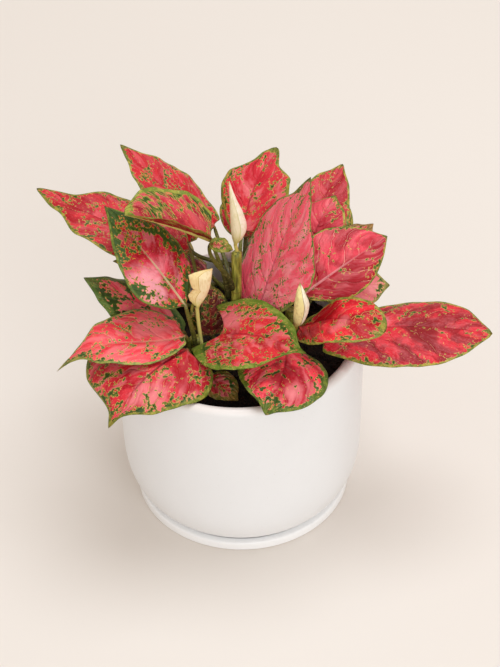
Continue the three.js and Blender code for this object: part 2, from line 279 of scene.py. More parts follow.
def glaze_finish(name, warm_band_at, warm_band_height, darker, lighter):
    """White glaze, with a warm band painted within warm_band_height of the given height (metres): painted
    reflection of the red leaves at the pot's lip, painted shade at the saucer's foot.
    """
    skin = Finish(name)
    place = skin.node("ShaderNodeNewGeometry")
    height = skin.split(place)[2]
    cloud = skin.noise(place, 0.035, detail=3)
    body = skin.mix(cloud, colour(darker), colour(lighter))
    # Painted light: a warm band at the given height, the leaves' red reflected at the pot's lip and shade
    # at the saucer's foot.
    from_warm_band = skin.add(skin.gap(height, warm_band_at), skin.times(cloud, 0.002))
    painted_warm_band = skin.fade(from_warm_band, 0.0, warm_band_height, 0.55, 0.0)
    body = skin.mix(painted_warm_band, body, colour("#ead9cd"))
    specks = skin.fade(skin.noise(place, 0.0011, detail=1), 0.74, 0.79, 0.0, 0.22)
    body = skin.mix(specks, body, colour("#b9a893"))
    uneven = skin.noise(place, 0.02, detail=2)
    pores = skin.noise(place, 0.0009, detail=2)
    relief = skin.bump(uneven, 0.0006, skin.bump(pores, 0.00003))
    rough = skin.fade(cloud, 0.3, 0.7, 0.34, 0.44)
    return skin.wear(Base_Color=body, Roughness=rough, Normal=relief, Coat_Weight=0.12)


# The saucer's whites are lighter than the pot's: painted light against the shade under the pot's shoulder.
pot_glaze = glaze_finish("pot_glaze", POT["top"] * MM, 0.006, "#e9eaeb", "#edeeef")
saucer_glaze = glaze_finish("saucer_glaze", 0.0, 0.002, "#fafbfc", "#fdfefe")
print("a glaze has", len(pot_glaze.node_tree.nodes), "nodes")

# %% [markdown]
# ## Turning
# Pots and saucers are thrown on a wheel, so each is one outline swept round the axis. A Screw modifier
# would do that from a curve. Sweeping in code keeps the wall, the foot and the drain hole as numbers, and
# the lips are true arcs, where a facet would catch the light.

# %% Turning helpers
def arc(centre, radii, start, end, steps, fullness=2):
    """Points [radius, height] on an arc between two angles in degrees. It is an ellipse at a fullness of 2,
    and its corner is fuller above that."""

    def bow(x):
        return math.copysign(abs(x) ** (2 / fullness), x)

    angles = np.radians(np.linspace(start, end, steps + 1))
    return [
        (centre[0] + radii[0] * bow(math.cos(a)), centre[1] + radii[1] * bow(math.sin(a))) for a in angles
    ]


def spin(outline, sides):
    """The outline's points, repeated round the axis."""
    angles = np.arange(sides) * 2 * math.pi / sides
    return [(r * math.cos(a), r * math.sin(a), z) for r, z in outline for a in angles]


def turned(name, outline, finish, sides=160):
    """A glazed solid turned about +Z. Its outline starts and ends on the axis, or closes on itself."""
    if outline[0][0] > 0:
        points = spin(outline[:-1], sides)
        total = len(points)
        faces = [
            (a, b, (b + sides) % total, (a + sides) % total)
            for row in range(0, total, sides)
            for a, b in ((row + k, row + (k + 1) % sides) for k in range(sides))
        ]
    else:
        points = spin(outline[1:-1], sides)
        points += [(0, 0, outline[0][1]), (0, 0, outline[-1][1])]
        faces = ring_faces(len(outline) - 2, sides)
    return make_mesh(name, points, faces, finish)


print("a quarter arc in 2 steps:", arc((0, 0), (1, 1), 0, 90, 2))

# %% [markdown]
# ## Saucer and pot
# The saucer is a shallow disc with a low rim, and the pot stands in it. The pot's side rises from a flat
# foot through one full corner and then goes straight up. A plain ellipse makes that corner too slack, so
# the arc's fullness draws it out. Inside, the wall follows the same corner, down to the drain hole.

# %% Saucer and pot
GAP = 0.3  # between pieces that touch
POT_BOTTOM = SAUCER["floor"] + GAP


def saucer_outline():
    radius, height, wall, floor, edge = SAUCER.values()
    crease = edge / 2
    inside = radius - wall
    lower = arc((radius - edge, edge), (edge, edge), -90, 0, 8)
    upper = arc((radius - edge, height - edge), (edge, edge), 0, 90, 8)
    inner = arc((inside + crease, height - crease), (crease, crease), 90, 180, 6)
    return [(0, 0), *lower, *upper, *inner, (inside, floor), (0, floor)]


def pot_outline():
    radius, top, wall, floor, foot, shoulder, fullness, drain = POT.values()
    lip = wall / 2
    bulge = radius - foot
    outer = arc((foot, shoulder), (bulge, shoulder - POT_BOTTOM), -90, 0, 48, fullness)
    rim = arc((radius - lip, top - lip), (lip, lip), 0, 180, 20)
    inner = arc((foot - wall, shoulder), (bulge, shoulder - POT_BOTTOM - floor), 0, -90, 24, fullness)
    hole = [(drain, POT_BOTTOM + floor), (drain, POT_BOTTOM)]
    return [(drain, POT_BOTTOM), *outer, *rim, *inner, *hole]


saucer = turned("saucer_turned", saucer_outline(), saucer_glaze)
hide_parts("saucer")
pot = turned("pot_turned", pot_outline(), pot_glaze)
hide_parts("pot")
print("pot and saucer:", len(pot.data.polygons), len(saucer.data.polygons), "faces")

# %% [markdown]
# ## Potting mix
# Potting mix is dark, damp and lumpy: peat crumbs with bits of bark. The surface is a fine disc pushed up
# and down by noise at two sizes. A displacement map would look the same from above, but real geometry
# also reads right from the side and at the wall. Below, the bed fills the pot, as the real one does.

# %% Potting mix
SOIL = {"edge": 122, "dome": 4}  # height at the pot's wall, and how much higher in the middle
SOIL_RADIUS = POT["radius"] - POT["wall"] - GAP
SOIL_SIDES = 150
SOIL_RINGS = 52
LUMPS = ((9.0, 1.6), (2.6, 1.1))  # size and height of the lumps


def soil_height(x, y):
    height = SOIL["edge"] + SOIL["dome"] * (1 - (x * x + y * y) / SOIL_RADIUS**2)
    for size, rise in LUMPS:
        height += rise * noise.noise((x / size, y / size, size)) - rise * 0.5
    return height


def soil_finish():
    skin = Finish("potting_mix")
    place = skin.node("ShaderNodeNewGeometry")
    crumbs = skin.noise(place, 0.0035, detail=4, roughness=0.65)
    tone = skin.ramp(crumbs, [(0.3, "#0b0705"), (0.5, "#1d130d"), (0.72, "#3a281b")])
    fibres = skin.fade(skin.noise(place, 0.0016, detail=2, distortion=1.5), 0.66, 0.72, 0.0, 0.6)
    tone = skin.mix(fibres, tone, colour("#6a4a2e"))
    relief = skin.bump(crumbs, 0.0016)
    return skin.wear(Base_Color=tone, Roughness=0.92, Normal=relief)


def make_soil(finish):
    low = POT_BOTTOM + POT["floor"] + GAP
    shoulder = POT["shoulder"]
    foot = POT["foot"] - POT["wall"] - GAP
    lower = arc((foot, shoulder), (SOIL_RADIUS - foot, shoulder - low), -90, 0, 12, POT["fullness"])
    upper = [(SOIL_RADIUS * (1 - ring / SOIL_RINGS), 0) for ring in range(SOIL_RINGS)]
    points = spin(lower, SOIL_SIDES)
    points += [(x, y, soil_height(x, y)) for x, y, _ in spin(upper, SOIL_SIDES)]
    points += [(0, 0, low), (0, 0, soil_height(0, 0))]
    return make_mesh("soil_bed", points, ring_faces(len(lower + upper), SOIL_SIDES), finish)


soil_skin = soil_finish()
soil = make_soil(soil_skin)
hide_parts("soil")
print("soil bed:", len(soil.data.polygons), "faces")

# %% [markdown]
# ## Crumbs
# Loose crumbs lie on the mix. Each is an eight-cornered stone, stretched, turned and squashed at random
# and half sunk into the bed. A fixed seed makes the same scatter every time. They could be scattered as
# instances of one stone, but then no two neighbours would differ in shape.

# %% Crumbs
CRUMBS = 420
CRUMB_SEED = 5
CRUMB_SIZE = (0.8, 2.4)  # half its width: the smallest and the largest
CRUMB_SHAPE = np.array([1.5, 1.0, 0.7])  # longer than wide, and flat
CRUMB_MARGIN = 3  # how far their middles keep from the pot's wall
CRUMB_RISE = 0.3  # how far their middles are above the bed
CRUMB_CORNERS = np.array([(x, y, z) for x in (-1, 1) for y in (-1, 1) for z in (-1, 1)]) / math.sqrt(3)
CRUMB_SIDES = [(0, 1, 3, 2), (4, 6, 7, 5), (0, 4, 5, 1), (2, 3, 7, 6), (0, 2, 6, 4), (1, 5, 7, 3)]


def crumb_points(random):
    r = (SOIL_RADIUS - CRUMB_MARGIN) * math.sqrt(random.random())
    a = random.random() * 2 * math.pi
    size = random.uniform(*CRUMB_SIZE) * CRUMB_SHAPE * random.uniform(0.7, 1.3, 3)
    heading = Matrix.Rotation(random.random() * 2 * math.pi, 3, "Z")
    turn = np.array(heading @ Matrix.Rotation(random.random(), 3, "X"))
    x, y = r * math.cos(a), r * math.sin(a)
    jitter = random.uniform(0.75, 1.25, (8, 1))
    return (CRUMB_CORNERS * size * jitter) @ turn.T + np.array([x, y, soil_height(x, y) + CRUMB_RISE])


random = np.random.default_rng(CRUMB_SEED)
crumb_corners = np.concatenate([crumb_points(random) for _ in range(CRUMBS)])
crumb_faces = [tuple(8 * crumb + i for i in side) for crumb in range(CRUMBS) for side in CRUMB_SIDES]
make_mesh("soil_crumbs", crumb_corners, crumb_faces, soil_skin)
print("crumbs:", CRUMBS)

# %% [markdown]
# ## Canes
# The plant grows from a few short upright stems, called canes. They reach into the bed as deep as the
# sockets that the CAD soil has for them. A curve with a bevel would do for the shape, but a row of rings
# takes a swelling wherever an old leaf has dropped. Each point stores how near it is to such a joint.

# %% Canes
CANE_DEPTH = 22
CANE_ROWS = 60
CANE_SIDES = 24
JOINT_SPACING = 13.0
CANE_WAIST = 0.96  # its radius between joints, as a share of its full radius
CANE_SWELL = 0.05  # and how much it gains at a joint
CANE_ROUND = 1.5  # height of its rounded top
CANES = {  # [x, y] at the soil's edge height, [x, y] at the top, height of the top, radius
    "cane_middle": ((-2.5, 4), (-0.5, 12), 205, 3.7),
    "cane_left": ((-28.5, -12), (-30.5, -14), 150, 5),
    "cane_right": ((35.5, 0), (37.5, 2), 160, 5),
    "cane_front": ((11.5, -36), (13.5, -38), 142, 4.5),
    "cane_back": ((5.5, 44), (5.5, 50), 156, 5),
}


def store(piece, name, values):
    """Three numbers per point, for the finish to read."""
    layer = piece.data.attributes.new(name, "FLOAT_VECTOR", "POINT")
    layer.data.foreach_set("vector", np.asarray(values, dtype=np.float32).ravel())


def cane_point(cane, height):
    low, high, top, _ = CANES[cane]
    share = (height - SOIL["edge"]) / (top - SOIL["edge"])
    return np.array([low[0] + (high[0] - low[0]) * share, low[1] + (high[1] - low[1]) * share, height])


def make_cane(name, finish):
    radius = CANES[name][3]
    heights = np.linspace(SOIL["edge"] - CANE_DEPTH, CANES[name][2], CANE_ROWS)
    angles = math.pi - np.arange(CANE_SIDES) * 2 * math.pi / CANE_SIDES
    points = []
    joints = []
    for z in heights:
        joint = (0.5 + 0.5 * math.cos(2 * math.pi * (z / JOINT_SPACING + radius))) ** 6
        into_top = max(0, (z - heights[-1] + CANE_ROUND) / CANE_ROUND)
        r = radius * (CANE_WAIST + CANE_SWELL * joint) * math.sqrt(max(1 - into_top**2, 0.3))
        for a in angles:
            points.append(cane_point(name, z) + np.array([r * math.cos(a), -r * math.sin(a), 0]))
            joints.append((joint, 0, 0))
    points += [cane_point(name, heights[0]), cane_point(name, heights[-1])]
    joints += [(0, 0, 0), (1, 0, 0)]
    cane = make_mesh(name + "_stem", points, ring_faces(CANE_ROWS, CANE_SIDES), finish)
    store(cane, "joint", joints)
    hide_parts(name)


print("the middle cane leaves the soil at", cane_point("cane_middle", SOIL["edge"]))

# %% [markdown]
# ## Cane skin
# A cane is olive, streaked along its length, with a brown scar round every joint. Noise that is stretched
# upwards makes the streaks, and the stored number places the scars, so they sit on the swellings.

# %% Cane skin
def cane_finish():
    skin = Finish("cane_skin")
    place = skin.node("ShaderNodeNewGeometry")
    joint = skin.split(skin.stored("joint"))[0]
    lengthways = skin.node("ShaderNodeMapping", (place, (0, 0, 0), (0, 0, 0), (1, 1, 0.12)))
    streaks = skin.noise(lengthways, 0.0016, 3)
    tone = skin.ramp(streaks, [(0.3, "#4a4e16"), (0.5, "#86882e"), (0.7, "#bcb854")])
    scar = skin.times(skin.fade(joint, 0.75, 0.98), 0.7)
    tone = skin.mix(scar, tone, colour("#6b4f2a"))
    relief = skin.bump(streaks, 0.0003)
    return skin.wear(Base_Color=tone, Roughness=0.45, Normal=relief)


cane_skin = cane_finish()
for cane_name in CANES:
    make_cane(cane_name, cane_skin)
print("canes:", len(CANES))

# %% [markdown]
# ## How a blade bends
# A leaf blade is a curved sheet. It is described by two numbers: u runs along it from base to tip, and v
# runs across it from edge to edge, with the midrib at zero. The midrib is a bowed line. The halves rise
# from it and droop again at the margin. The CAD model uses the same formula, so the fine blade lies where
# the plain one does, and here it also gets a ripple at the margin and soft pillows between its veins.

# %% Blade settings
USUAL_BEND = {
    "roll": 0,  # degrees about the line from base to tip
    "arch": 8,  # rise of the midrib above that line
    "peak": 1,  # above 1, the arch is highest nearer the tip
    "sway": 0,  # sideways bow of the midrib
    "fold": 10,  # degrees that each half rises from the midrib
    "camber": 0.25,  # how far each half droops again at its edge
    "skew": 0,  # share by which one half is wider than the other
    "slant": 0,  # how much nearer the tip that half is widest
    "wide": 0.4,  # where along the blade it is widest
    "full": 0.72,  # below 1 gives fuller shoulders
    "drip": 0.45,  # how much the last stretch narrows into a drip tip
    "drip_start": 0.8,  # where that stretch starts
    "lobe": 0.04,  # how far the lower corners reach back beside the stalk
    "wave": 0.9,  # height of the ripple at the margin
    "waves": 2.3,  # ripples along the margin
    "phase": 0,  # shifts those ripples along
}
PILLOW = 0.6  # height of the pillows between veins
VEINS = 6  # side veins in each half
UP = np.array([0.0, 0.0, 1.0])


def unit(vectors):
    return vectors / np.linalg.norm(vectors, axis=-1, keepdims=True)


class Blade:
    """One leaf blade, in millimetres. Its number makes its veins and ripples its own."""

    def __init__(self, base, tip, width, number, **bend):
        self.base = np.array(base, dtype=float)
        self.tip = np.array(tip, dtype=float)
        self.width = width
        self.number = number
        self.bend = {**USUAL_BEND, **bend}
        self.length = np.linalg.norm(self.tip - self.base)
        along = (self.tip - self.base) / self.length
        level = unit(np.cross(along, UP))
        roll = math.radians(self.bend["roll"])
        self.side = level * math.cos(roll) + np.cross(level, along) * math.sin(roll)
        self.normal = np.cross(self.side, along)


sample = Blade((0, 0, 0), (100, 0, 20), 50, 0)
print("a sample blade is", round(sample.length, 1), "mm long")

# %% [markdown]
# ## The midrib and the outline
# The midrib is a straight line plus a sine bow up and another sideways. The outline is half a sine wave
# whose highest point is moved towards the base, as it is on the real leaf, and a second taper draws the
# end into a drip tip. A drawn outline would do for one leaf, but a formula suits thirty different ones.

# %% Blade lines
STEP = 0.001  # the share of a line over which its direction is measured
DRIP_LENGTH = 0.2  # the share of the blade over which it narrows to its drip tip


def smooth_step(low, high, x):
    t = np.clip((x - low) / (high - low), 0, 1)
    return t * t * (3 - 2 * t)


def midrib(blade, u):
    u = np.clip(np.asarray(u, dtype=float), 0, 1)[..., None]
    rise = blade.bend["arch"] * np.sin(math.pi * u ** blade.bend["peak"])
    shift = blade.bend["sway"] * np.sin(math.pi * u)
    return blade.base + (blade.tip - blade.base) * u + blade.normal * rise + blade.side * shift


def directions(blade, u):
    """Directions along, across and out of the blade at u."""
    along = unit(midrib(blade, np.minimum(u + STEP, 1)) - midrib(blade, np.maximum(u - STEP, 0)))
    across = unit(blade.side - along * (along @ blade.side)[..., None])
    return along, across, np.cross(across, along)


def half_width(blade, u, v):
    bend = blade.bend
    power = math.log(0.5) / np.log(bend["wide"] + bend["slant"] * np.sign(v))
    inside = np.clip(u, 1e-6, 1 - 1e-6)
    oval = np.sin(math.pi * inside**power) ** bend["full"]
    narrowing = smooth_step(bend["drip_start"], bend["drip_start"] + DRIP_LENGTH, u)
    taper = 1 - bend["drip"] * narrowing
    return blade.width / 2 * oval * taper * (1 + bend["skew"] * np.sign(v))


print("halfway, its half width is", round(float(half_width(sample, 0.5, 1)), 1), "mm")

# %% [markdown]
# ## Veins, pillows and the sheet
# Side veins leave the midrib at a slant and curve forward to the margin. The skin swells a little between
# them, and the margin ripples in long waves with finer ones on top. Both fade out at the base and the
# tip. They are real geometry, since a bump map can't ripple the edge that shows against the floor.

# %% Blade sheet
VEIN_SLANT = 0.3  # how far forward a vein runs by the margin, in blade widths
VEIN_CURVE = 0.24  # and how much further its curve takes it
VEIN_OFFSET = 0.37  # puts the veins of one half between those of the other
LEAF_OFFSET = 0.61  # and moves them from one leaf to the next
LEAF_PHASE = 1.7  # does the same for the ripples, in radians
HALF_PHASE = 1.9  # and sets one half's ripples off from the other's
FINE_WAVES = 2.7  # fine ripples to each long one
FINE_HEIGHT = 0.35  # their height, as a share of the long one's


def vein_number(blade, u, v):
    """Counts the side veins: whole numbers lie on a vein."""
    reach = blade.width / blade.length * (VEIN_SLANT * np.abs(v) + VEIN_CURVE * v * v)
    return VEINS * (u - reach) + VEIN_OFFSET * (v > 0) + blade.number * LEAF_OFFSET


def relief(blade, u, v):
    """Height of the ripple and the pillows above the plain sheet."""
    bend = blade.bend
    phase = bend["phase"] + blade.number * LEAF_PHASE + np.where(v > 0, 0, HALF_PHASE)
    ripple = bend["wave"] * np.abs(v) ** 3 * np.sin(2 * math.pi * bend["waves"] * u + phase)
    fine = np.abs(v) ** 4 * np.sin(2 * math.pi * bend["waves"] * FINE_WAVES * u + phase * 2)
    swell = np.abs(np.sin(math.pi * vein_number(blade, u, v))) ** 0.8 - 0.6
    inner = smooth_step(0.0, 0.25, np.abs(v)) * (1 - smooth_step(0.7, 1.0, np.abs(v)))
    ends = smooth_step(0.0, 0.12, u) * (1 - smooth_step(0.85, 1.0, u))
    return (ripple + FINE_HEIGHT * bend["wave"] * fine + PILLOW * swell * inner) * ends


def sheet(blade, u, v):
    """Points at every pair of u (a column) and v (a row), the direction out of the blade at each u, and
    its half width at each pair."""
    bend = blade.bend
    along, across, out = directions(blade, u)
    u_column = u[:, None]
    v = v[None, :]
    half = half_width(blade, u_column, v)
    fold = math.radians(bend["fold"])
    lift = np.abs(v) * math.sin(fold) - bend["camber"] * v * v
    near_base = smooth_step(0, 0.06, u_column) * (1 - u_column) ** 5
    behind = bend["lobe"] * blade.length * np.abs(v) ** 1.5 * near_base
    points = midrib(blade, u)[:, None, :] - along[:, None, :] * behind[..., None]
    points = points + across[:, None, :] * (half * v * math.cos(fold))[..., None]
    points = points + out[:, None, :] * (half * lift + relief(blade, u_column, v))[..., None]
    return points, out, half


print("vein at the middle of its midrib:", round(float(vein_number(sample, 0.5, 0)), 2))

# %% [markdown]
# ## Leaf stalks
# A stalk leaves its cane upwards, clasping it with a thicker foot, and leans over to meet its blade. A
# Bezier curve does that with four points: where it starts and ends, and how far it holds its direction
# there. A chain of straight pieces would show its corners. The CAD model's stalks follow the same curve.

# %% Stalks
STALK = {
    "foot": 2.1,  # radius where it clasps the cane
    "neck": 1.3,  # radius where it meets the blade
    "rise": 0.35,  # how far it holds its first direction, for its span
    "pull": 0.42,  # how far it holds its last
    "follow": 0.4,  # how much that last direction leans towards the blade
    "rows": 26,
}


def bezier(points, t):
    a, b, c, d = points
    t = np.asarray(t)[:, None]
    s = 1 - t
    return a * s**3 + 3 * b * s * s * t + 3 * c * s * t * t + d * t**3


def stalk_line(blade, cane, height, compass):
    angle = math.radians(compass)
    outward = np.array([math.cos(angle), math.sin(angle), 0])
    start = cane_point(cane, height) + outward * (CANES[cane][3] + GAP + STALK["foot"])
    span = np.linalg.norm(blade.base - start)
    leave = start + UP * span * STALK["rise"]
    ways = (blade.base - start) / span + directions(blade, np.array([0.02]))[0][0]
    lean = unit(ways * STALK["follow"] + UP)
    arrive = blade.base - lean * span * STALK["pull"]
    return (start, leave, arrive, blade.base)


def line_length(line):
    """Measured over short straight steps."""
    return np.linalg.norm(np.diff(bezier(line, np.linspace(0, 1, 40)), axis=0), axis=1).sum()


sample_line = stalk_line(sample, "cane_front", 130, 0)
print("a stalk to the sample blade is", round(line_length(sample_line)), "mm long")

# %% [markdown]
# ## Leaf rings
# A leaf is grown as one skin: a round stalk that flattens into the blade. Each row of points is a ring,
# over the top from edge to edge and back underneath. On the stalk the ring is nearly a circle, and on the
# blade it is a thin lens with a channel above the midrib and a ridge below. Mixing the two rings over the
# first few millimetres of the blade makes the joint seamless, which a Boolean union would not.

# %% Leaf rings
BLADE_ROWS = 70
HALF_COLUMNS = 18
THICKNESS = 0.7
FLARE = 0.04  # the share of the blade over which the stalk's round ring flattens
RIDGE = 1.2  # height of the midrib under the blade's base
CHANNEL = 0.5  # depth of the groove above it
RIB_WIDTH = 1.2  # half the width of both
STALK_TOP = 0.8  # height of the stalk's upper half, where its underside's is 1

stalk_t = np.linspace(0, 1, STALK["rows"], endpoint=False)
blade_u = np.linspace(0, 1, BLADE_ROWS + 1)[:-1] ** 1.12  # closer together near the base
even = np.linspace(-1, 1, 2 * HALF_COLUMNS + 1)
blade_v = even - 0.11 * np.sin(2 * math.pi * even)  # crowded at the midrib and at the edges
quarter = blade_v * math.pi / 2


def stalk_radius():
    """It narrows from foot to neck, and fades out under the blade."""
    narrowing = STALK["foot"] + (STALK["neck"] - STALK["foot"]) * stalk_t
    return np.concatenate([narrowing, STALK["neck"] * (1 - 0.8 * blade_u)])


def round_rings(blade, line):
    """The stalk's rings, top and underside. Past its neck they go on along the midrib."""
    centres = np.concatenate([bezier(line, stalk_t), midrib(blade, blade_u)])
    upwards = unit(bezier(line, stalk_t + STEP) - bezier(line, stalk_t))
    ahead = np.concatenate([upwards, directions(blade, blade_u)[0]])
    side = unit(blade.side - ahead * (ahead @ blade.side)[:, None])
    normal = np.cross(side, ahead)
    radius = stalk_radius()[:, None]
    aside = side[:, None] * (np.sin(quarter) * radius)[..., None]
    lift = normal[:, None] * (np.cos(quarter) * radius)[..., None]
    return centres[:, None] + aside + lift * STALK_TOP, centres[:, None] + aside - lift


def flat_rings(blade):
    """The blade's rings, top and underside."""
    points, out, half = sheet(blade, blade_u, blade_v)
    distance = np.abs(blade_v)[None, :] * half
    rib = np.exp(-((distance / RIB_WIDTH) ** 2)) * (1 - blade_u)[:, None]
    plump = np.sin(math.pi * np.clip(blade_u, 0.08, 1) ** 0.6)[:, None]
    body = THICKNESS / 2 * np.sqrt(1 - blade_v**2)[None, :] * plump
    top = points + out[:, None] * (body - CHANNEL * rib)[..., None]
    return top, points - out[:, None] * (body + RIDGE * rib)[..., None]


def closed(top, under):
    """One ring from each row over the top and the row back underneath."""
    return np.concatenate([top, under[:, -2:0:-1]], axis=1)


def leaf_points(blade, line):
    top, under = round_rings(blade, line)
    flat_top, flat_under = flat_rings(blade)
    share = smooth_step(0, FLARE, blade_u)[:, None, None]
    rows = STALK["rows"]
    top[rows:] = top[rows:] * (1 - share) + flat_top * share
    under[rows:] = under[rows:] * (1 - share) + flat_under * share
    return np.concatenate([closed(top, under).reshape(-1, 3), [line[0], blade.tip]])


print("a leaf has", len(leaf_points(sample, sample_line)), "points")

# %% [markdown]
# ## What each point knows
# A leaf's pattern follows its margin and its veins, so each point stores where it is on the leaf: how far
# along, how far across and how far in from the edge, and also between which veins. The finish can then
# place veins, margin and flecks exactly, whatever way the leaf bends. An unwrapped map could say the
# same, but it has only two numbers for a point.

# %% Leaf numbers
INSIDE = 30  # stored on the stalk as its distance from the edge, so that no margin is drawn there
TIP_SHARE = 0.45  # how much of the way to the tip counts as distance from the edge


def leaf_places(blade, line):
    """Millimetres along, across and in from the edge. Along is below zero on the stalk."""
    rows = STALK["rows"]
    stalk_length = line_length(line)
    half = half_width(blade, blade_u[:, None], blade_v[None, :])
    place = np.zeros((rows + BLADE_ROWS, len(blade_v), 3))
    place[:rows, :, 0] = (stalk_t - 1)[:, None] * stalk_length
    place[rows:, :, 0] = blade_u[:, None] * blade.length
    place[:rows, :, 1] = np.sin(quarter) * stalk_radius()[:rows, None]
    place[rows:, :, 1] = blade_v * half
    place[:rows, :, 2] = INSIDE
    to_tip = (1 - blade_u)[:, None] * blade.length * TIP_SHARE
    place[rows:, :, 2] = np.minimum((1 - np.abs(blade_v)) * half, to_tip)
    ends = [[-stalk_length, 0, INSIDE], [blade.length, 0, 0]]
    return np.concatenate([closed(place, place).reshape(-1, 3), ends])


def leaf_lines(blade):
    """The count of veins, 1 on top and 0 underneath, and the leaf's number."""
    top = np.zeros((STALK["rows"] + BLADE_ROWS, len(blade_v), 3))
    top[STALK["rows"] :, :, 0] = vein_number(blade, blade_u[:, None], blade_v[None, :])
    top[:, :, 1] = 1
    top[:, :, 2] = blade.number
    under = top.copy()
    under[:, :, 1] = 0
    ends = [[0, 1, blade.number], [0, 1, blade.number]]
    return np.concatenate([closed(top, under).reshape(-1, 3), ends])


def make_leaf(name, blade, line, finish):
    faces = ring_faces(STALK["rows"] + BLADE_ROWS, 4 * HALF_COLUMNS)
    leaf = make_mesh(name + "_blade", leaf_points(blade, line), faces, finish)
    store(leaf, "place", leaf_places(blade, line))
    store(leaf, "lines", leaf_lines(blade))
    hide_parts(name)
    return len(faces)


print("a leaf's points start at", round(leaf_places(sample, sample_line)[0, 0]), "mm along it")

# %% [markdown]
# ## How a leaf is coloured
# A red Aglaonema leaf is crimson to rose with a green margin. Inwards the margin breaks up into dark
# green flecks, each with a thin buff outline, and a few flecks stray along the side veins. No two leaves
# are quite alike, so a leaf's own look states only what differs from the usual settings here.

# %% Leaf settings
USUAL_LOOK = {
    "deep": "#a8061a",  # the deeper red, also used for painted shade in hollows
    "rose": "#e62c3a",  # the rosier red, also used for painted highlight on the swells
    "blush": "#f6888c",  # pink of the painted sheen and highlights
    "bloom": 0.5,  # how much painted sheen, in pale cloudy patches
    "green": "#6f7a26",  # the margin
    "lime": "#b0a242",  # its lighter cloudings
    "dark": "#365018",  # the flecks
    "buff": "#eab268",  # their outlines
    "margin": 1.1,  # width of the solid margin, in mm
    "fringe": 7.0,  # how far in the flecks are dense
    "flecks": 0.0,  # more or fewer flecks all over
    "fleck": 2.4,  # their size in mm
    "stretch": 1.0,  # below 1 draws them out along the veins
    "tip": 0.0,  # more flecks towards the tip
    "base": 0.0,  # more flecks round the base
    "dashes": 0.07,  # more flecks along the side veins
    "shade_tip": 0.0,  # deeper red towards the tip, as painted shade
    "shade_plus": 0.0,  # deeper red on the half with v above zero, as painted shade
    "vein": "#e8a08c",  # the side veins
    "veining": 0.4,  # how strongly they show
    "highlight_at": (0.5, 0.5, 0.0),  # a painted highlight patch: share of the length, of the half width, and radius in mm
    "shade_at": (0.5, 0.5, 0.0),  # a painted shade patch
    "rib": "#a31226",  # the midrib
    "ribbing": 0.5,  # how strongly it shows
    "rib_width": 0.7,  # half its width at the base, in mm
    "rib_fade": 0.3,  # how much of the rib's colour is left at the tip
    "under": "#b04a44",  # the underside
    "under_dark": "#8a2a2c",  # its streaks
}
STALK_TONES = ("#2a2c12", "#606226", "#a8a25c")  # low down, darkened as painted shade among the others; by the blade; and its pale speckle


def leaf_patterns(skin, blade, look):
    """The places and noises that more than one colour of a leaf uses."""
    on = SimpleNamespace(length=blade.length, half=blade.width / 2, spacing=blade.length / VEINS)
    on.along, on.across, on.edge = skin.split(skin.stored("place"))
    vein, on.upper, number = skin.split(skin.stored("lines"))
    on.depth = skin.times(number, 53.0)  # each leaf takes its own slice of the noise
    on.flat = skin.join(on.along, on.across, on.depth)
    wander = skin.fade(skin.noise(on.flat, 9.0, 1), 0.3, 0.7, -0.1, 0.1)
    on.count = skin.times(skin.add(vein, wander), on.spacing)
    on.flow = skin.join(on.count, skin.times(on.across, look["stretch"]), on.depth)
    on.patches = skin.noise(on.flat, 11.0, 2)
    on.fine = skin.noise(on.flat, 1.1, 2)
    on.streaks = skin.noise(skin.join(on.count, skin.times(on.across, 0.16), on.depth), 0.9, 2)
    between = skin.gap(skin.maths("FRACT", skin.add(vein, wander)), 0.5)
    on.from_vein = skin.times(skin.maths("SUBTRACT", 0.5, between), on.spacing)
    return on


print("a leaf's look has", len(USUAL_LOOK), "settings")

# %% [markdown]
# ## Flecks
# One number decides where a fleck lies: noise, plus a share that grows towards the edge, the veins and
# the tip. Where it passes a threshold the skin is green, and just below that it is buff, which gives
# every fleck its outline. Painting flecks one by one would give the same look on one leaf only.

# %% Flecks
FLECK_LEVEL = 0.66  # the threshold, where noise alone averages about 0.5


def fleck_pattern(skin, on, look):
    """How green the skin is."""
    ground = on.flow if look["stretch"] < 1 else on.flat
    blots = skin.noise(ground, look["fleck"], 2.5, roughness=0.55)
    blots = skin.add(skin.times(blots, 0.88), skin.times(on.fine, 0.12))
    drift = skin.fade(on.patches, 0.3, 0.7, -0.11, 0.11)
    band = skin.fade(on.edge, 0.5 * look["margin"], 1.9 * look["margin"], 0.3, 0.0)
    band = skin.times(band, skin.fade(skin.noise(on.flat, 5.0, 2), 0.36, 0.56, 0.5, 1.1))
    inwards = skin.fade(on.edge, 0.0, look["fringe"], 0.16, 0.0)
    near_tip = skin.fade(on.along, 0.4 * on.length, 0.95 * on.length, 0.0, look["tip"])
    near_base = skin.fade(on.along, 0.0, 0.35 * on.length, look["base"], 0.0)
    dashes = skin.fade(on.from_vein, 0.3, 2.4, look["dashes"], 0.0)
    return skin.add(blots, drift, band, inwards, near_tip, near_base, dashes, look["flecks"])


def green_over(skin, on, look, greenness, red):
    """The flecks in dark green, their buff outlines, and the rim in lighter greens."""
    green = colour(look["green"])
    buff = colour(look["buff"])
    dark = skin.mix(skin.fade(greenness, 0.68, 0.78), green, colour(look["dark"]))
    pale = skin.fade(skin.noise(on.flat, 4.5, 3, roughness=0.6), 0.42, 0.62)
    rim = skin.mix(pale, green, colour(look["lime"]))
    rim = skin.mix(skin.fade(on.fine, 0.62, 0.7, 0.0, 0.6), rim, buff)
    at_edge = skin.fade(on.edge, 1.2 * look["margin"], 2.2 * look["margin"], 1.0, 0.0)
    outline = skin.fade(greenness, FLECK_LEVEL - 0.042, FLECK_LEVEL - 0.01, 0.0, 0.85)
    tone = skin.mix(outline, red, buff)
    inside = skin.fade(greenness, FLECK_LEVEL - 0.005, FLECK_LEVEL + 0.01)
    return skin.mix(inside, tone, skin.mix(at_edge, dark, rim))


print("flecks start at", FLECK_LEVEL)
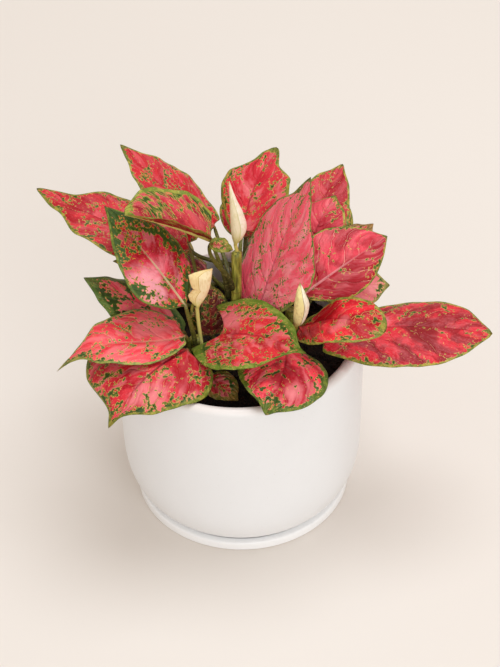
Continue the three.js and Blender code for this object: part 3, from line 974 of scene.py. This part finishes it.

# %% [markdown]
# ## The red ground
# The red drifts between a deep and a rosy tone and is finely streaked. Painted highlight makes it rosier on
# the swells between veins and paler in fine specks and a cloudy sheen. Painted shade deepens it in cloudy
# hollows, towards the tip and over one half. Each leaf may add one painted pale patch and one painted deep
# patch. The veins come last, as thin broken lines. Each step mixes one colour in by a soft share. That is
# how a painter glazes, and it keeps each effect adjustable on its own.

# %% Red ground
def patch(skin, on, at):
    """A soft patch on a leaf, with a cloudy outline. Its share is 1 in the middle."""
    u, v, radius = at
    dx = skin.maths("SUBTRACT", on.along, u * on.length)
    dy = skin.maths("SUBTRACT", on.across, v * on.half)
    far = skin.maths("SQRT", skin.add(skin.times(dx, dx), skin.times(dy, dy)))
    far = skin.add(far, skin.fade(on.patches, 0.3, 0.7, -0.3 * radius, 0.3 * radius))
    return skin.fade(far, 0.2 * radius, radius, 1.0, 0.0)


def red_ground(skin, on, look):
    deep = colour(look["deep"])
    rose = colour(look["rose"])
    blush = colour(look["blush"])
    cloud = skin.noise(skin.join(on.count, skin.times(on.across, 0.7), on.depth), 13.0, 2)
    red = skin.mix(skin.fade(cloud, 0.4, 0.57), deep, rose)
    # Painted highlight: rosier on the swells between veins.
    red = skin.mix(skin.fade(on.from_vein, 0.0, 0.4 * on.spacing, 0.0, 0.22), red, rose)
    red = skin.mix(skin.fade(on.streaks, 0.5, 0.68, 0.0, 0.32), red, deep)
    # Painted shade: deeper red in cloudy hollows.
    hollow_shade = skin.fade(skin.noise(on.flat, 9.0, 3), 0.5, 0.66, 0.0, 0.6)
    red = skin.mix(hollow_shade, red, deep)
    # Painted sheen: fine pale pink specks.
    red = skin.mix(skin.fade(on.fine, 0.5, 0.7, 0.0, 0.18), red, blush)
    # Painted shade: deeper red towards the tip and over one half.
    painted_shade = skin.fade(on.along, 0.3 * on.length, 0.8 * on.length, 0.0, look["shade_tip"])
    painted_shade = skin.add(painted_shade, skin.fade(on.across, -1.0, 1.0, 0.0, look["shade_plus"]))
    red = skin.mix(painted_shade, red, deep)
    # Painted sheen: pale cloudy pink patches standing for soft highlights.
    bloom = skin.fade(skin.noise(on.flow, 9.0, 2), 0.48, 0.64, 0.0, look["bloom"])
    red = skin.mix(bloom, red, blush)
    # A painted shade patch in the deep red, where a hollow would be.
    if look["shade_at"][2]:
        red = skin.mix(skin.times(patch(skin, on, look["shade_at"]), 0.85), red, deep)
    # A painted highlight patch in the pale pink.
    if look["highlight_at"][2]:
        red = skin.mix(skin.times(patch(skin, on, look["highlight_at"]), 0.65), red, blush)
    broken = skin.fade(on.patches, 0.38, 0.58, 0.15, 1.0)
    line = skin.times(skin.fade(on.from_vein, 0.1, 0.45, look["veining"], 0.0), broken)
    return skin.mix(line, red, colour(look["vein"]))


print("the usual red goes from", USUAL_LOOK["deep"], "to", USUAL_LOOK["rose"])

# %% [markdown]
# ## Rib, underside and stalk
# The midrib is a narrow line that fades towards the tip. Underneath, the leaf is duller and only faintly
# mottled, and the stalk is olive, with painted shade darkening it where it goes down among the others. All
# of it is one finish on one mesh, and the stored numbers say which part a point belongs to, so no seam
# shows.

# %% Leaf finish
def rib_share(skin, on, look):
    half_rib = skin.fade(on.along, 0.0, on.length, look["rib_width"], 0.2 * look["rib_width"])
    beside = skin.maths("SUBTRACT", skin.maths("ABSOLUTE", on.across), half_rib)
    strength = skin.fade(on.along, 0.3 * on.length, 0.75 * on.length, 1.0, look["rib_fade"])
    return skin.times(skin.fade(beside, 0.0, 0.35, look["ribbing"], 0.0), strength)


def underside(skin, on, look, greenness):
    tones = colour(look["under"]), colour(look["under_dark"])
    under = skin.mix(skin.fade(on.streaks, 0.45, 0.65), *tones)
    mottled = skin.fade(greenness, FLECK_LEVEL, FLECK_LEVEL + 0.06, 0.0, 0.85)
    return skin.mix(mottled, under, colour(look["lime"]))


def stalk_tone(skin, on):
    low, high, speckle = [colour(code) for code in STALK_TONES]
    # Painted shade: darker low down, where the stalk goes in among the others.
    stalk = skin.mix(skin.fade(on.along, -45.0, -8.0), low, high)
    return skin.mix(skin.fade(on.fine, 0.5, 0.7, 0.0, 0.3), stalk, speckle)


def leaf_relief(skin, on):
    """Fine grain, a groove along each vein, and a slow swell."""
    grain = skin.bump(skin.noise(on.flat, 0.7, 2), 0.00008)
    grooves = skin.bump(skin.fade(on.from_vein, 0.0, 1.4), 0.0003, grain)
    return skin.bump(skin.noise(on.flow, 5.0, 2), 0.0011, grooves)


def leaf_finish(name, blade, **look):
    look = {**USUAL_LOOK, **look}
    skin = Finish(name)
    on = leaf_patterns(skin, blade, look)
    greenness = fleck_pattern(skin, on, look)
    upper = green_over(skin, on, look, greenness, red_ground(skin, on, look))
    tone = skin.mix(on.upper, underside(skin, on, look, greenness), upper)
    tone = skin.mix(rib_share(skin, on, look), tone, colour(look["rib"]))
    tone = skin.mix(skin.fade(on.along, -2.0, 4.0), stalk_tone(skin, on), tone)
    relief = leaf_relief(skin, on)
    return skin.wear(Base_Color=tone, Roughness=0.38, Normal=relief, Specular_IOR_Level=0.27)


print("a stalk goes from", STALK_TONES[0], "to", STALK_TONES[1])

# %% [markdown]
# ## Leaves on the left
# Every leaf is a row: where its blade starts and ends, how wide it is, which cane its stalk leaves, at
# what height and in what direction, how it bends, and how its colours differ from the usual. The places
# and bends repeat the CAD model's. Placing leaves one by one is slower than scattering them, but a plant of
# thirty leaves is recognised by exactly how they lie over one another. These reach out to the left.

# %% Leaves on the left
LEFT_LEAVES = {  # start, tip, width, (cane, height, compass angle), bend, look
    "leaf_far_left": (
        (-32.5, 17, 202), (-139.5, 60, 227), 58, ("cane_left", 136, 82),
        dict(
            roll=3, arch=3, sway=-7, fold=12, camber=0.2, slant=0.04, wide=0.36, full=0.65, drip=0.42,
            drip_start=0.6, lobe=0, wave=2.2, waves=1.6, phase=1,
        ),
        dict(
            rose="#dc2e38", deep="#a80818", bloom=0.3, fringe=6, flecks=0.032, vein="#f0a090",
            highlight_at=(0.35, 0.3, 16), shade_at=(0.75, 0, 12),
        ),
    ),
    "leaf_top_left": (
        (-16, 54, 193.5), (-81.5, 91, 241), 51, ("cane_middle", 160, 112),
        dict(
            roll=-7, arch=1, sway=-5, fold=13, skew=0.14, slant=0.04, full=0.66, drip_start=0.72,
            lobe=0.08,
        ),
        dict(
            rose="#d6222e", deep="#b80c1e", bloom=0.25, margin=1.3, fringe=6, flecks=0.03,
            lime="#b4a644",
        ),
    ),
    "leaf_curled": (
        (-17.5, 15, 212), (-74.5, 0, 247), 52, ("cane_middle", 166, 165),
        dict(
            roll=-4, arch=1, sway=2, fold=44, camber=0.15, skew=0.22, slant=-0.1, wide=0.45, full=0.35,
            drip=0.4, lobe=0,
        ),
        dict(
            rose="#cc3640", deep="#a01428", margin=2.2, fringe=16, flecks=0.065, stretch=0.35, fleck=2,
            dashes=0.03, green="#75862e", lime="#a6a644", rib="#d2ca70", ribbing=1, rib_width=2.4,
            rib_fade=1, under="#a01428", under_dark="#700a18", bloom=0.25,
        ),
    ),
    "leaf_left_upright": (
        (-35.5, -25, 188), (-88.5, 15, 244), 54, ("cane_left", 140, -92),
        dict(roll=5, arch=1, sway=1, skew=0.04, slant=0.03, wide=0.39, full=1, drip=0.1, lobe=0),
        dict(
            rose="#e43850", deep="#a00010", margin=1, fringe=15, flecks=0.032, tip=0.05, base=0.05,
            dashes=0.03, shade_tip=0.9, bloom=0.22, blush="#fab4bc", rib="#cdbf90", ribbing=0.8,
            rib_fade=0.1, buff="#dc9838", highlight_at=(0.3, -0.5, 18), fleck=2.5, shade_at=(0.62, -0.35, 17),
            lime="#7c8a34", green="#566a24",
        ),
    ),
    "leaf_left_dark": (
        (-38.5, 2, 140), (-107.5, 14, 183), 48, ("cane_left", 127, 160),
        dict(roll=4, arch=4, skew=-0.15),
        dict(
            rose="#ff7884", deep="#e84456", margin=3, fringe=18, flecks=0.07, fleck=3.2,
            green="#587830", lime="#76904a", dark="#35501f",
        ),
    ),
    # Its very dark reds are painted shade, for a leaf behind the others.
    "leaf_left_inner": (
        (-21.5, 44, 162), (-89.5, 44, 173), 34, ("cane_back", 128, 190),
        dict(roll=10, arch=4),
        dict(rose="#8c1420", deep="#5c0c14", flecks=0.02),
    ),
    "leaf_left_low": (
        (-36.5, -27, 163), (-125.5, -42, 146), 52, ("cane_left", 146, -132),
        dict(
            roll=6, arch=18, peak=1.5, sway=-4, fold=12, camber=0.2, skew=0.19, slant=-0.06, wide=0.34,
            full=0.95, drip=0.6, drip_start=0.62,
        ),
        dict(
            rose="#ff5a60", deep="#e42c3c", flecks=0.03, veining=0.6, vein="#f0c8a8", green="#74883e",
            lime="#a8a650", rib="#f0a890", highlight_at=(0.25, 0.5, 18),
        ),
    ),
    "leaf_front_left": (
        (-35.5, -34, 157), (-87.5, -95, 143), 86, ("cane_left", 127, 205),
        dict(
            roll=5, sway=2.5, fold=0, camber=0.22, skew=0.16, slant=0.1, wide=0.38, full=0.9, drip=0.65,
            drip_start=0.71, lobe=0.11,
        ),
        dict(
            rose="#da2c38", deep="#b00e20", margin=1.4, fringe=12, flecks=0.017, tip=0.05, veining=0.55,
            vein="#d8a060", rib="#7c0c1c", ribbing=0.8, lime="#a09a3c", shade_at=(0.2, -0.35, 18),
            highlight_at=(0.6, -0.3, 16),
        ),
    ),
}
print("left leaves:", len(LEFT_LEAVES))

# %% [markdown]
# ## Leaves in the middle
# These four make the plant's face: a broad leaf across the front, one that points at the viewer, the
# tall pink one and one behind it. They are close and large, so they carry the most settings.

# %% Leaves in the middle
MIDDLE_LEAVES = {
    "leaf_centre": (
        (-12.5, -19, 157), (44.5, -70, 183), 70, ("cane_front", 128, 160),
        dict(
            roll=-18, arch=2, sway=-4, fold=20, camber=0.12, skew=0.18, slant=0.09, wide=0.3, full=0.8,
            drip=0.7, drip_start=0.74, lobe=0.32,
        ),
        dict(
            rose="#e02a34", deep="#a81420", margin=3, fringe=14, flecks=0.027, dashes=0.09,
            green="#647e22", lime="#88963a", highlight_at=(0.12, -0.35, 12), fleck=2.7,
        ),
    ),
    "leaf_front": (
        (32.5, -38, 158), (16.5, -97, 154), 63, ("cane_front", 134, -20),
        dict(roll=7, arch=2, sway=-3, fold=12, drip=0.47, drip_start=0.75, lobe=0.07),
        dict(
            rose="#ff4452", deep="#b00c24", margin=2.4, fringe=11, flecks=0.01, dashes=0.1,
            green="#546820", lime="#7c8a30", shade_at=(0.45, 0, 14), highlight_at=(0.6, -0.3, 8),
        ),
    ),
    "leaf_tall": (
        (14.5, -3, 168), (50.5, 22, 259), 90, ("cane_middle", 146, -40),
        dict(
            roll=12, arch=-2, sway=-6, camber=0.13, skew=0.16, slant=0.09, wide=0.35, full=0.86,
            drip=0.35, drip_start=0.66, lobe=0.14,
        ),
        dict(
            rose="#ff7c8c", deep="#fa5068", blush="#ffbcbc", fringe=6, flecks=0.014, dashes=0.08,
            fleck=1.9, green="#6a7a34", lime="#96984a", rib="#b84a62", vein="#a84a50", bloom=0.35,
            shade_at=(0.12, -0.6, 16), buff="#e8b478", dark="#4c6c28",
        ),
    ),
    "leaf_top": (
        (3, 50, 192), (29.5, 105, 226), 57, ("cane_middle", 182, 75),
        dict(
            roll=10, arch=7, fold=14, camber=0.18, skew=0.08, slant=-0.06, wide=0.44, full=0.56,
            drip=0.5, drip_start=0.6,
        ),
        dict(
            rose="#de323e", deep="#c81428", margin=1.7, fringe=10, lime="#a09638", shade_at=(0.6, 0, 10),
        ),
    ),
}
print("middle leaves:", len(MIDDLE_LEAVES))

# %% [markdown]
# ## Leaves on the right
# On the right the leaves are narrower and redder, with a thin rim and few flecks. A flecks setting below
# zero says that. Four are rolled by about thirty degrees, which tips their faces to the front. Turning
# the finished leaf would do the same, but it would pull the blade off its stalk.

# %% Leaves on the right
RIGHT_LEAVES = {
    "leaf_top_right": (
        (46.5, 22, 182), (76.5, 88, 222), 46, ("cane_right", 154, 110),
        dict(roll=-6, arch=7, sway=-3, fold=13, skew=0.13, slant=-0.07, wide=0.34, full=0.61),
        dict(rose="#cc1e2c", deep="#a4061a", bloom=0.15, margin=1.2, fringe=5, flecks=-0.01),
    ),
    "leaf_right_inner": (
        (48.5, 19, 189), (69.5, 55, 219), 38, ("cane_right", 150, 58),
        dict(wide=0.5),
        dict(rose="#e84e5c", deep="#b81c30", margin=1.2, fringe=5, flecks=-0.03),
    ),
    "leaf_right_behind": (
        (61.5, 48, 165), (71.5, 105, 189), 38, ("cane_back", 150, 25),
        {},
        dict(flecks=0.02),
    ),
    "leaf_right": (
        (44.5, -13, 186), (103.5, 20, 209), 53, ("cane_right", 152, -35),
        dict(roll=-30, arch=3, fold=12, skew=-0.15, wide=0.46, full=0.86, drip=0.3, drip_start=0.86),
        dict(
            rose="#ec4a5a", deep="#a4041a", bloom=0.25, margin=0.8, fringe=4, flecks=-0.045,
            shade_plus=0.75, veining=0.6, vein="#f0b0a0", rib="#f0a8a8", ribbing=0.6,
        ),
    ),
    "leaf_right_tip": (
        (61.5, 25, 178), (96.5, 50, 197), 28, ("cane_right", 146, 8),
        dict(roll=-30, arch=4),
        dict(margin=1.6, green="#8a6a3a", lime="#b08848"),
    ),
    "leaf_right_pale": (
        (53.5, 27, 158), (108.5, 32, 155), 36, ("cane_right", 128, 50),
        dict(roll=-35, arch=4, wide=0.5),
        dict(rose="#ec8c8c", deep="#dc6468", margin=1.4, flecks=0.02, lime="#b4a45c", green="#8a8c48"),
    ),
    "leaf_right_low": (
        (41.5, -20, 163), (97.5, -55, 188), 42, ("cane_right", 146, -100),
        dict(
            roll=-24, arch=9, peak=1.3, sway=-3, fold=22, camber=0.15, skew=0.2, slant=-0.1, wide=0.57,
            full=0.5, drip=0,
        ),
        dict(
            rose="#f62a38", deep="#a80412", margin=1.3, fringe=8, flecks=-0.02, veining=0.6,
            vein="#e8b070", bloom=0.15, shade_at=(0.35, -0.2, 16), highlight_at=(0.6, 0.3, 10),
            lime="#a89c40", green="#788030",
        ),
    ),
    "leaf_far_right": (
        (55.5, -25, 157), (174.5, -25, 157), 64, ("cane_right", 138, -65),
        dict(
            roll=-5, arch=2, sway=-7, fold=9, skew=0.13, slant=-0.08, wide=0.57, full=0.58, drip=0.5,
            drip_start=0.84, lobe=0.08,
        ),
        dict(
            rose="#e22a38", deep="#8e0010", bloom=0.12, margin=1.2, fringe=5, veining=0.6,
            vein="#eab088", shade_at=(0.6, 0.15, 15), highlight_at=(0.35, -0.25, 9),
        ),
    ),
}
print("right leaves:", len(RIGHT_LEAVES))

# %% [markdown]
# ## Small and deep leaves
# A young leaf, a twisted one and one deep inside, coloured dull and dark as painted shade, fill the gaps
# that show between the rest.
# They are made as the large ones are, because a plain card would show its flat edge from above.

# %% Small and deep leaves
SMALL_LEAVES = {
    "leaf_small_front": (
        (-22.5, -43, 140), (-1.5, -62, 134), 24, ("cane_left", 127, -75),
        dict(roll=-10, arch=3),
        dict(rose="#c01c24", deep="#84101a", margin=2, flecks=0.04, lime="#9a7434", green="#6a6a24"),
    ),
    "leaf_small_twisted": (
        (-18.5, 0, 221), (-2.5, -2, 217), 12, ("cane_middle", 178, 240),
        dict(roll=-30, arch=3, fold=25),
        dict(rose="#c46a58", deep="#a84a40", flecks=0.04, margin=1.6, lime="#a49a48"),
    ),
    # Its dull dark reds are painted shade, for a leaf deep inside.
    "leaf_deep": (
        (-19.5, 3, 136), (-21.5, 13, 178), 30, ("cane_middle", 128, 200),
        dict(arch=2),
        dict(flecks=0.07, deep="#5c1a18", rose="#8a3830", green="#565c22", bloom=0.1, blush="#b06a58"),
    ),
}
print("small leaves:", len(SMALL_LEAVES))

# %% [markdown]
# ## Leaves behind
# The back of the plant is hidden from the front, but a plant that has leaves on one side only looks
# wrong from every other. So the back gets leaves of the usual look, spread as those in front are.

# %% Leaves behind
BACK_LEAVES = {
    "leaf_back_1": ((5.5, 66, 174), (21.5, 128, 182), 50, ("cane_back", 152, 95), dict(arch=6), {}),
    "leaf_back_2": ((35.5, 58, 162), (63.5, 120, 170), 48, ("cane_back", 140, 50), dict(arch=6), {}),
    "leaf_back_3": ((-36.5, 62, 172), (-72.5, 116, 178), 44, ("cane_back", 150, 130), dict(arch=6), {}),
    "leaf_back_4": ((46.5, 43, 150), (93.5, 82, 142), 44, ("cane_back", 128, -10), dict(arch=7), {}),
    "leaf_back_5": ((-44.5, 31, 149), (-88.5, 71, 124), 36, ("cane_back", 126, 225), dict(arch=12), {}),
    "leaf_back_6": ((15.5, 62, 146), (41.5, 127, 130), 44, ("cane_back", 130, 85), dict(arch=14), {}),
    "leaf_back_7": (
        (-41.5, 53, 152), (-67.5, 118, 136), 38, ("cane_back", 138, 146),
        dict(arch=12),
        {},
    ),
}
print("back leaves:", len(BACK_LEAVES))

# %% [markdown]
# ## Growing the leaves
# The groups are joined and grown one by one. A leaf's number in the list feeds its veins, its ripples and
# its slice of the noise, so the order matters: swap two rows and both leaves change their pattern.

# %% Leaves
LEAVES = {**LEFT_LEAVES, **MIDDLE_LEAVES, **RIGHT_LEAVES, **SMALL_LEAVES, **BACK_LEAVES}

leaf_faces = 0
for number, (leaf_name, row) in enumerate(LEAVES.items()):
    base, tip, width, stalk, bend, look = row
    blade = Blade(base, tip, width, number, **bend)
    finish = leaf_finish(leaf_name + "_skin", blade, **look)
    leaf_faces += make_leaf(leaf_name, blade, stalk_line(blade, *stalk), finish)
print("leaves:", len(LEAVES), "with", leaf_faces, "faces")

# %% [markdown]
# ## Flower shapes
# The flower of an Aglaonema is plain: a cream spathe, like a small rolled leaf, round a spike that stays
# hidden here. One is a closed bud, one has folded over as it withers, and one has a split edge. Each is
# drawn as a person would sketch it, by how far it reaches left and right at a few heights. No formula
# would be shorter, because the three have little in common.

# %% Flower shapes
FLOWERS = {  # stalk, then [height, left, right] up the spathe, half its depth, its seam and its tones
    "flower_upright": (
        [(-0.3, 12, 205.3), (-1, 12.5, 212), (1, 13, 226), (-1, 13.5, 243), (-3.5, 14, 263)],
        [
            (211, -2, 0), (214, -2.8, 1.8), (217, -3.4, 4.2), (221, -3.9, 6.2), (225, -4.1, 7.0),
            (229, -4.1, 6.7), (238, -4.2, 4.3), (246, -4.2, 1.0), (255, -4.2, -1.8), (262.5, -4.2, -3.8),
        ],
        4.4, 0.62, dict(low="#ccc668", cream="#faf0cc", flap="#fdf6e0", line="#d4ca74"),
    ),
    "flower_folded": (
        [(-25.1, -18.2, 134), (-26.3, -18.9, 148), (-28, -20.5, 183), (-24.5, -21, 199), (-16.5, -21, 217)],
        [
            (184.5, -28.6, -26), (186.5, -30.4, -25.2), (190, -33, -23), (194, -33.8, -21),
            (198, -31.2, -19.6), (200, -29, -19), (201, -31, -18.7), (206, -32.1, -17.8),
            (211.5, -32.8, -17), (213.5, -29, -16.8), (215.5, -23, -16.6), (217, -16.9, -16.3),
        ],
        2.6, 0.42, dict(low="#d8d47a", cream="#fae2a4", flap="#fbe8ba", line="#d2ac54"),
    ),
    "flower_open": (
        [(32, -5.2, 130), (32.5, -13, 146), (39, -30, 171), (43, -36, 193.5), (41.5, -36, 215.5)],
        [
            (173, 37, 39.5), (176, 36.9, 41), (179.5, 36.8, 43.9), (183, 36.8, 45.2), (190, 37, 47),
            (197, 37.3, 47.6), (200, 37.6, 47), (204, 38.2, 45.6), (209, 39, 44), (215, 40.9, 41.7),
        ],
        3.8, 0.66, dict(low="#9c9a3a", cream="#f8eca4", flap="#fbf5da", line="#94642a"),
    ),
}
for flower_name, flower in FLOWERS.items():
    print(flower_name, "is", round(flower[1][-1][0] - flower[1][0][0], 1), "mm tall above its stalk")

# %% [markdown]
# ## Spathe skin
# A spathe is cream, greener low down, with fine streaks that run up it. Its two edges overlap at a seam, so
# there is one tone on each side and a thin line between. Each point stores its height up the spathe and
# its place round the roll, and the finish draws the seam from those. A modelled crease would be finer
# than the mesh.

# %% Spathe skin
def flower_finish(name, low, cream, flap, line):
    """Low is the tone at the base, flap is beyond the seam, and line is for the seam and the streaks."""
    skin = Finish(name)
    place = skin.node("ShaderNodeNewGeometry")
    share, turn, _ = skin.split(skin.stored("bud"))
    line = colour(line)
    lengthways = skin.node("ShaderNodeMapping", (place, (0, 0, 0), (0, 0, 0), (1, 1, 0.2)))
    streaks = skin.noise(lengthways, 0.0009, 3)
    blotch = skin.noise(place, 0.004, 2)
    tone = skin.mix(skin.fade(turn, 0.45, 0.55), colour(cream), colour(flap))
    tone = skin.mix(skin.fade(streaks, 0.45, 0.7, 0.0, 0.3), tone, line)
    tone = skin.mix(skin.fade(blotch, 0.55, 0.7, 0.0, 0.25), tone, line)
    tone = skin.mix(skin.fade(skin.gap(turn, 0.5), 0.008, 0.03, 0.85, 0.0), tone, line)
    tone = skin.mix(skin.fade(share, 0.0, 0.3, 1.0, 0.0), tone, colour(low))
    tone = skin.mix(skin.fade(share, 0.93, 1.0, 0.0, 0.8), tone, line)
    relief = skin.bump(streaks, 0.0003)
    return skin.wear(Base_Color=tone, Roughness=0.5, Normal=relief)


flower_skins = {name: flower_finish(name + "_skin", **flower[-1]) for name, flower in FLOWERS.items()}
print("spathe skins:", len(flower_skins))

# %% [markdown]
# ## Flowers
# A flower is a row of rings, as a leaf is: small round ones up the stalk, then wide ones that take their
# left and right from the sketch. The roll is a spiral, not a circle: the part beyond the seam stands out
# a little, and the small step where it ends is the seam itself.

# %% Flowers
STEM = 1.3  # half thickness of a flower's stalk
STALK_ROWS = 24
SPATHE_ROWS = 60
FLOWER_SIDES = 40
OVERLAP = 1.16  # how far out the part beyond the seam is, where the rest is at 1
PLUMP = 0.65  # how deep a slice is for its width, until it reaches the spathe's own depth


def smooth_line(points, t):
    """A Catmull-Rom line through the points, at shares t of the way."""
    points = np.array(points, dtype=float)
    padded = np.vstack([2 * points[0] - points[1], points, 2 * points[-1] - points[-2]])
    spans = len(points) - 1
    results = []
    for share in t:
        i = min(int(share * spans), spans - 1)
        f = share * spans - i
        a, b, c, d = padded[i : i + 4]
        cubic = 2 * b + (c - a) * f + (2 * a - 5 * b + 4 * c - d) * f * f + (3 * b - a - 3 * c + d) * f**3
        results.append(cubic / 2)
    return np.array(results)


def make_flower(name):
    line, slices, deep, seam, _ = FLOWERS[name]
    heights, lefts, rights = np.array(slices).T
    path = smooth_line(line, np.linspace(0, 1, 400))
    angles = math.pi - np.arange(FLOWER_SIDES) * 2 * math.pi / FLOWER_SIDES
    turn = np.clip((1 + np.cos(angles)) / 2 - seam + 0.5, 0, 1)
    rolled = np.where(turn > 0.5, OVERLAP, 1.0)
    stalk_z = np.linspace(line[0][2], heights[0], STALK_ROWS, endpoint=False)
    spathe_z = np.linspace(heights[0], heights[-1], SPATHE_ROWS)
    points = []
    bud = []
    for z in np.concatenate([stalk_z, spathe_z]):
        x, y, _ = path[np.argmin(np.abs(path[:, 2] - z))]
        left, right, thick = x - STEM, x + STEM, STEM
        if z >= heights[0]:
            left, right = np.interp(z, heights, lefts), np.interp(z, heights, rights)
            thick = min(deep, STEM + PLUMP * (right - left) / 2)
        share = max(0.0, (z - heights[0]) / (heights[-1] - heights[0]))
        closing = min(1, 4 * (1.02 - share))  # the last quarter flattens to a thin end
        xs = (left + right) / 2 + (right - left) / 2 * np.cos(angles)
        ys = y - thick * closing * (rolled if share > 0.05 else 1.0) * np.sin(angles)
        points += [(xs[k], ys[k], z) for k in range(FLOWER_SIDES)]
        bud += [(share, side, 0) for side in turn]
    points += [line[0], ((lefts[-1] + rights[-1]) / 2, *line[-1][1:])]
    bud += [(0, 0, 0), (1, 0, 0)]
    faces = ring_faces(STALK_ROWS + SPATHE_ROWS, FLOWER_SIDES)
    flower = make_mesh(name + "_spathe", points, faces, flower_skins[name])
    store(flower, "bud", bud)
    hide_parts(name)


for flower_name in FLOWERS:
    make_flower(flower_name)
print("flowers:", len(FLOWERS))

# %% [markdown]
# ## Floor
# The plant stands on pale, slightly warm paper, so large that its edge is never near. A curved sweep is
# what a studio would hang, but one big quad does the same for a view from above. A faint cloud of noise
# keeps it from being a perfectly even tone.

# %% Floor
FLOOR = 20.0  # half its size, in metres

floor_skin = Finish("floor_paper")
floor_place = floor_skin.node("ShaderNodeNewGeometry")
floor_cloud = floor_skin.noise(floor_place, 0.4, 2)
floor_tone = floor_skin.mix(floor_cloud, colour("#e6dfd7"), colour("#e8e2db"))
floor_mesh = bpy.data.meshes.new("floor")
floor_corners = [(-FLOOR, -FLOOR, 0), (FLOOR, -FLOOR, 0), (FLOOR, FLOOR, 0), (-FLOOR, FLOOR, 0)]
floor_mesh.from_pydata(floor_corners, [], [(0, 1, 2, 3)])
floor_mesh.materials.append(floor_skin.wear(Base_Color=floor_tone, Roughness=0.9))
floor = bpy.data.objects.new("floor", floor_mesh)
bpy.context.scene.collection.objects.link(floor)
print("floor:", 2 * FLOOR, "m across")

# %% [markdown]
# ## Light
# Soft light suits a plant: hard light would break thirty leaves into patches. An even, faintly warm sky
# reaches everything but the narrow places, such as the line where the saucer meets the floor. A large
# round lamp overhead leaves the pot's lower part in shade, and a larger and lower one in front softens
# that. The lamps are slightly cooler than the sky, so the shadows, which the sky alone lights, are warm.

# %% Light
SKY = "#fff4ea"
SKY_STRENGTH = 0.66
LAMP_TONE = (0.95, 1.0, 1.06)

world = bpy.data.worlds.new("sky")
world.use_nodes = True
world.node_tree.nodes["Background"].inputs[0].default_value = colour(SKY)
world.node_tree.nodes["Background"].inputs[1].default_value = SKY_STRENGTH
bpy.context.scene.world = world


def add_lamp(name, place, power, size):
    """A disc lamp of the given watts and width in metres, facing the plant."""
    lamp_data = bpy.data.lights.new(name, "AREA")
    lamp_data.shape = "DISK"
    lamp_data.size = size
    lamp_data.energy = power
    lamp_data.color = LAMP_TONE
    lamp = bpy.data.objects.new(name, lamp_data)
    bpy.context.scene.collection.objects.link(lamp)
    lamp.location = place
    lamp.rotation_euler = (AIM - Vector(place)).to_track_quat("-Z", "Y").to_euler()


add_lamp("overhead", (0.5, 0.4, 2.9), 38, 1.9)
add_lamp("fill", (0.9, -2.7, 1.5), 33, 2.6)
bpy.context.scene.view_settings.view_transform = "Standard"
print("lamps:", len(bpy.data.lights))

# %% [markdown]
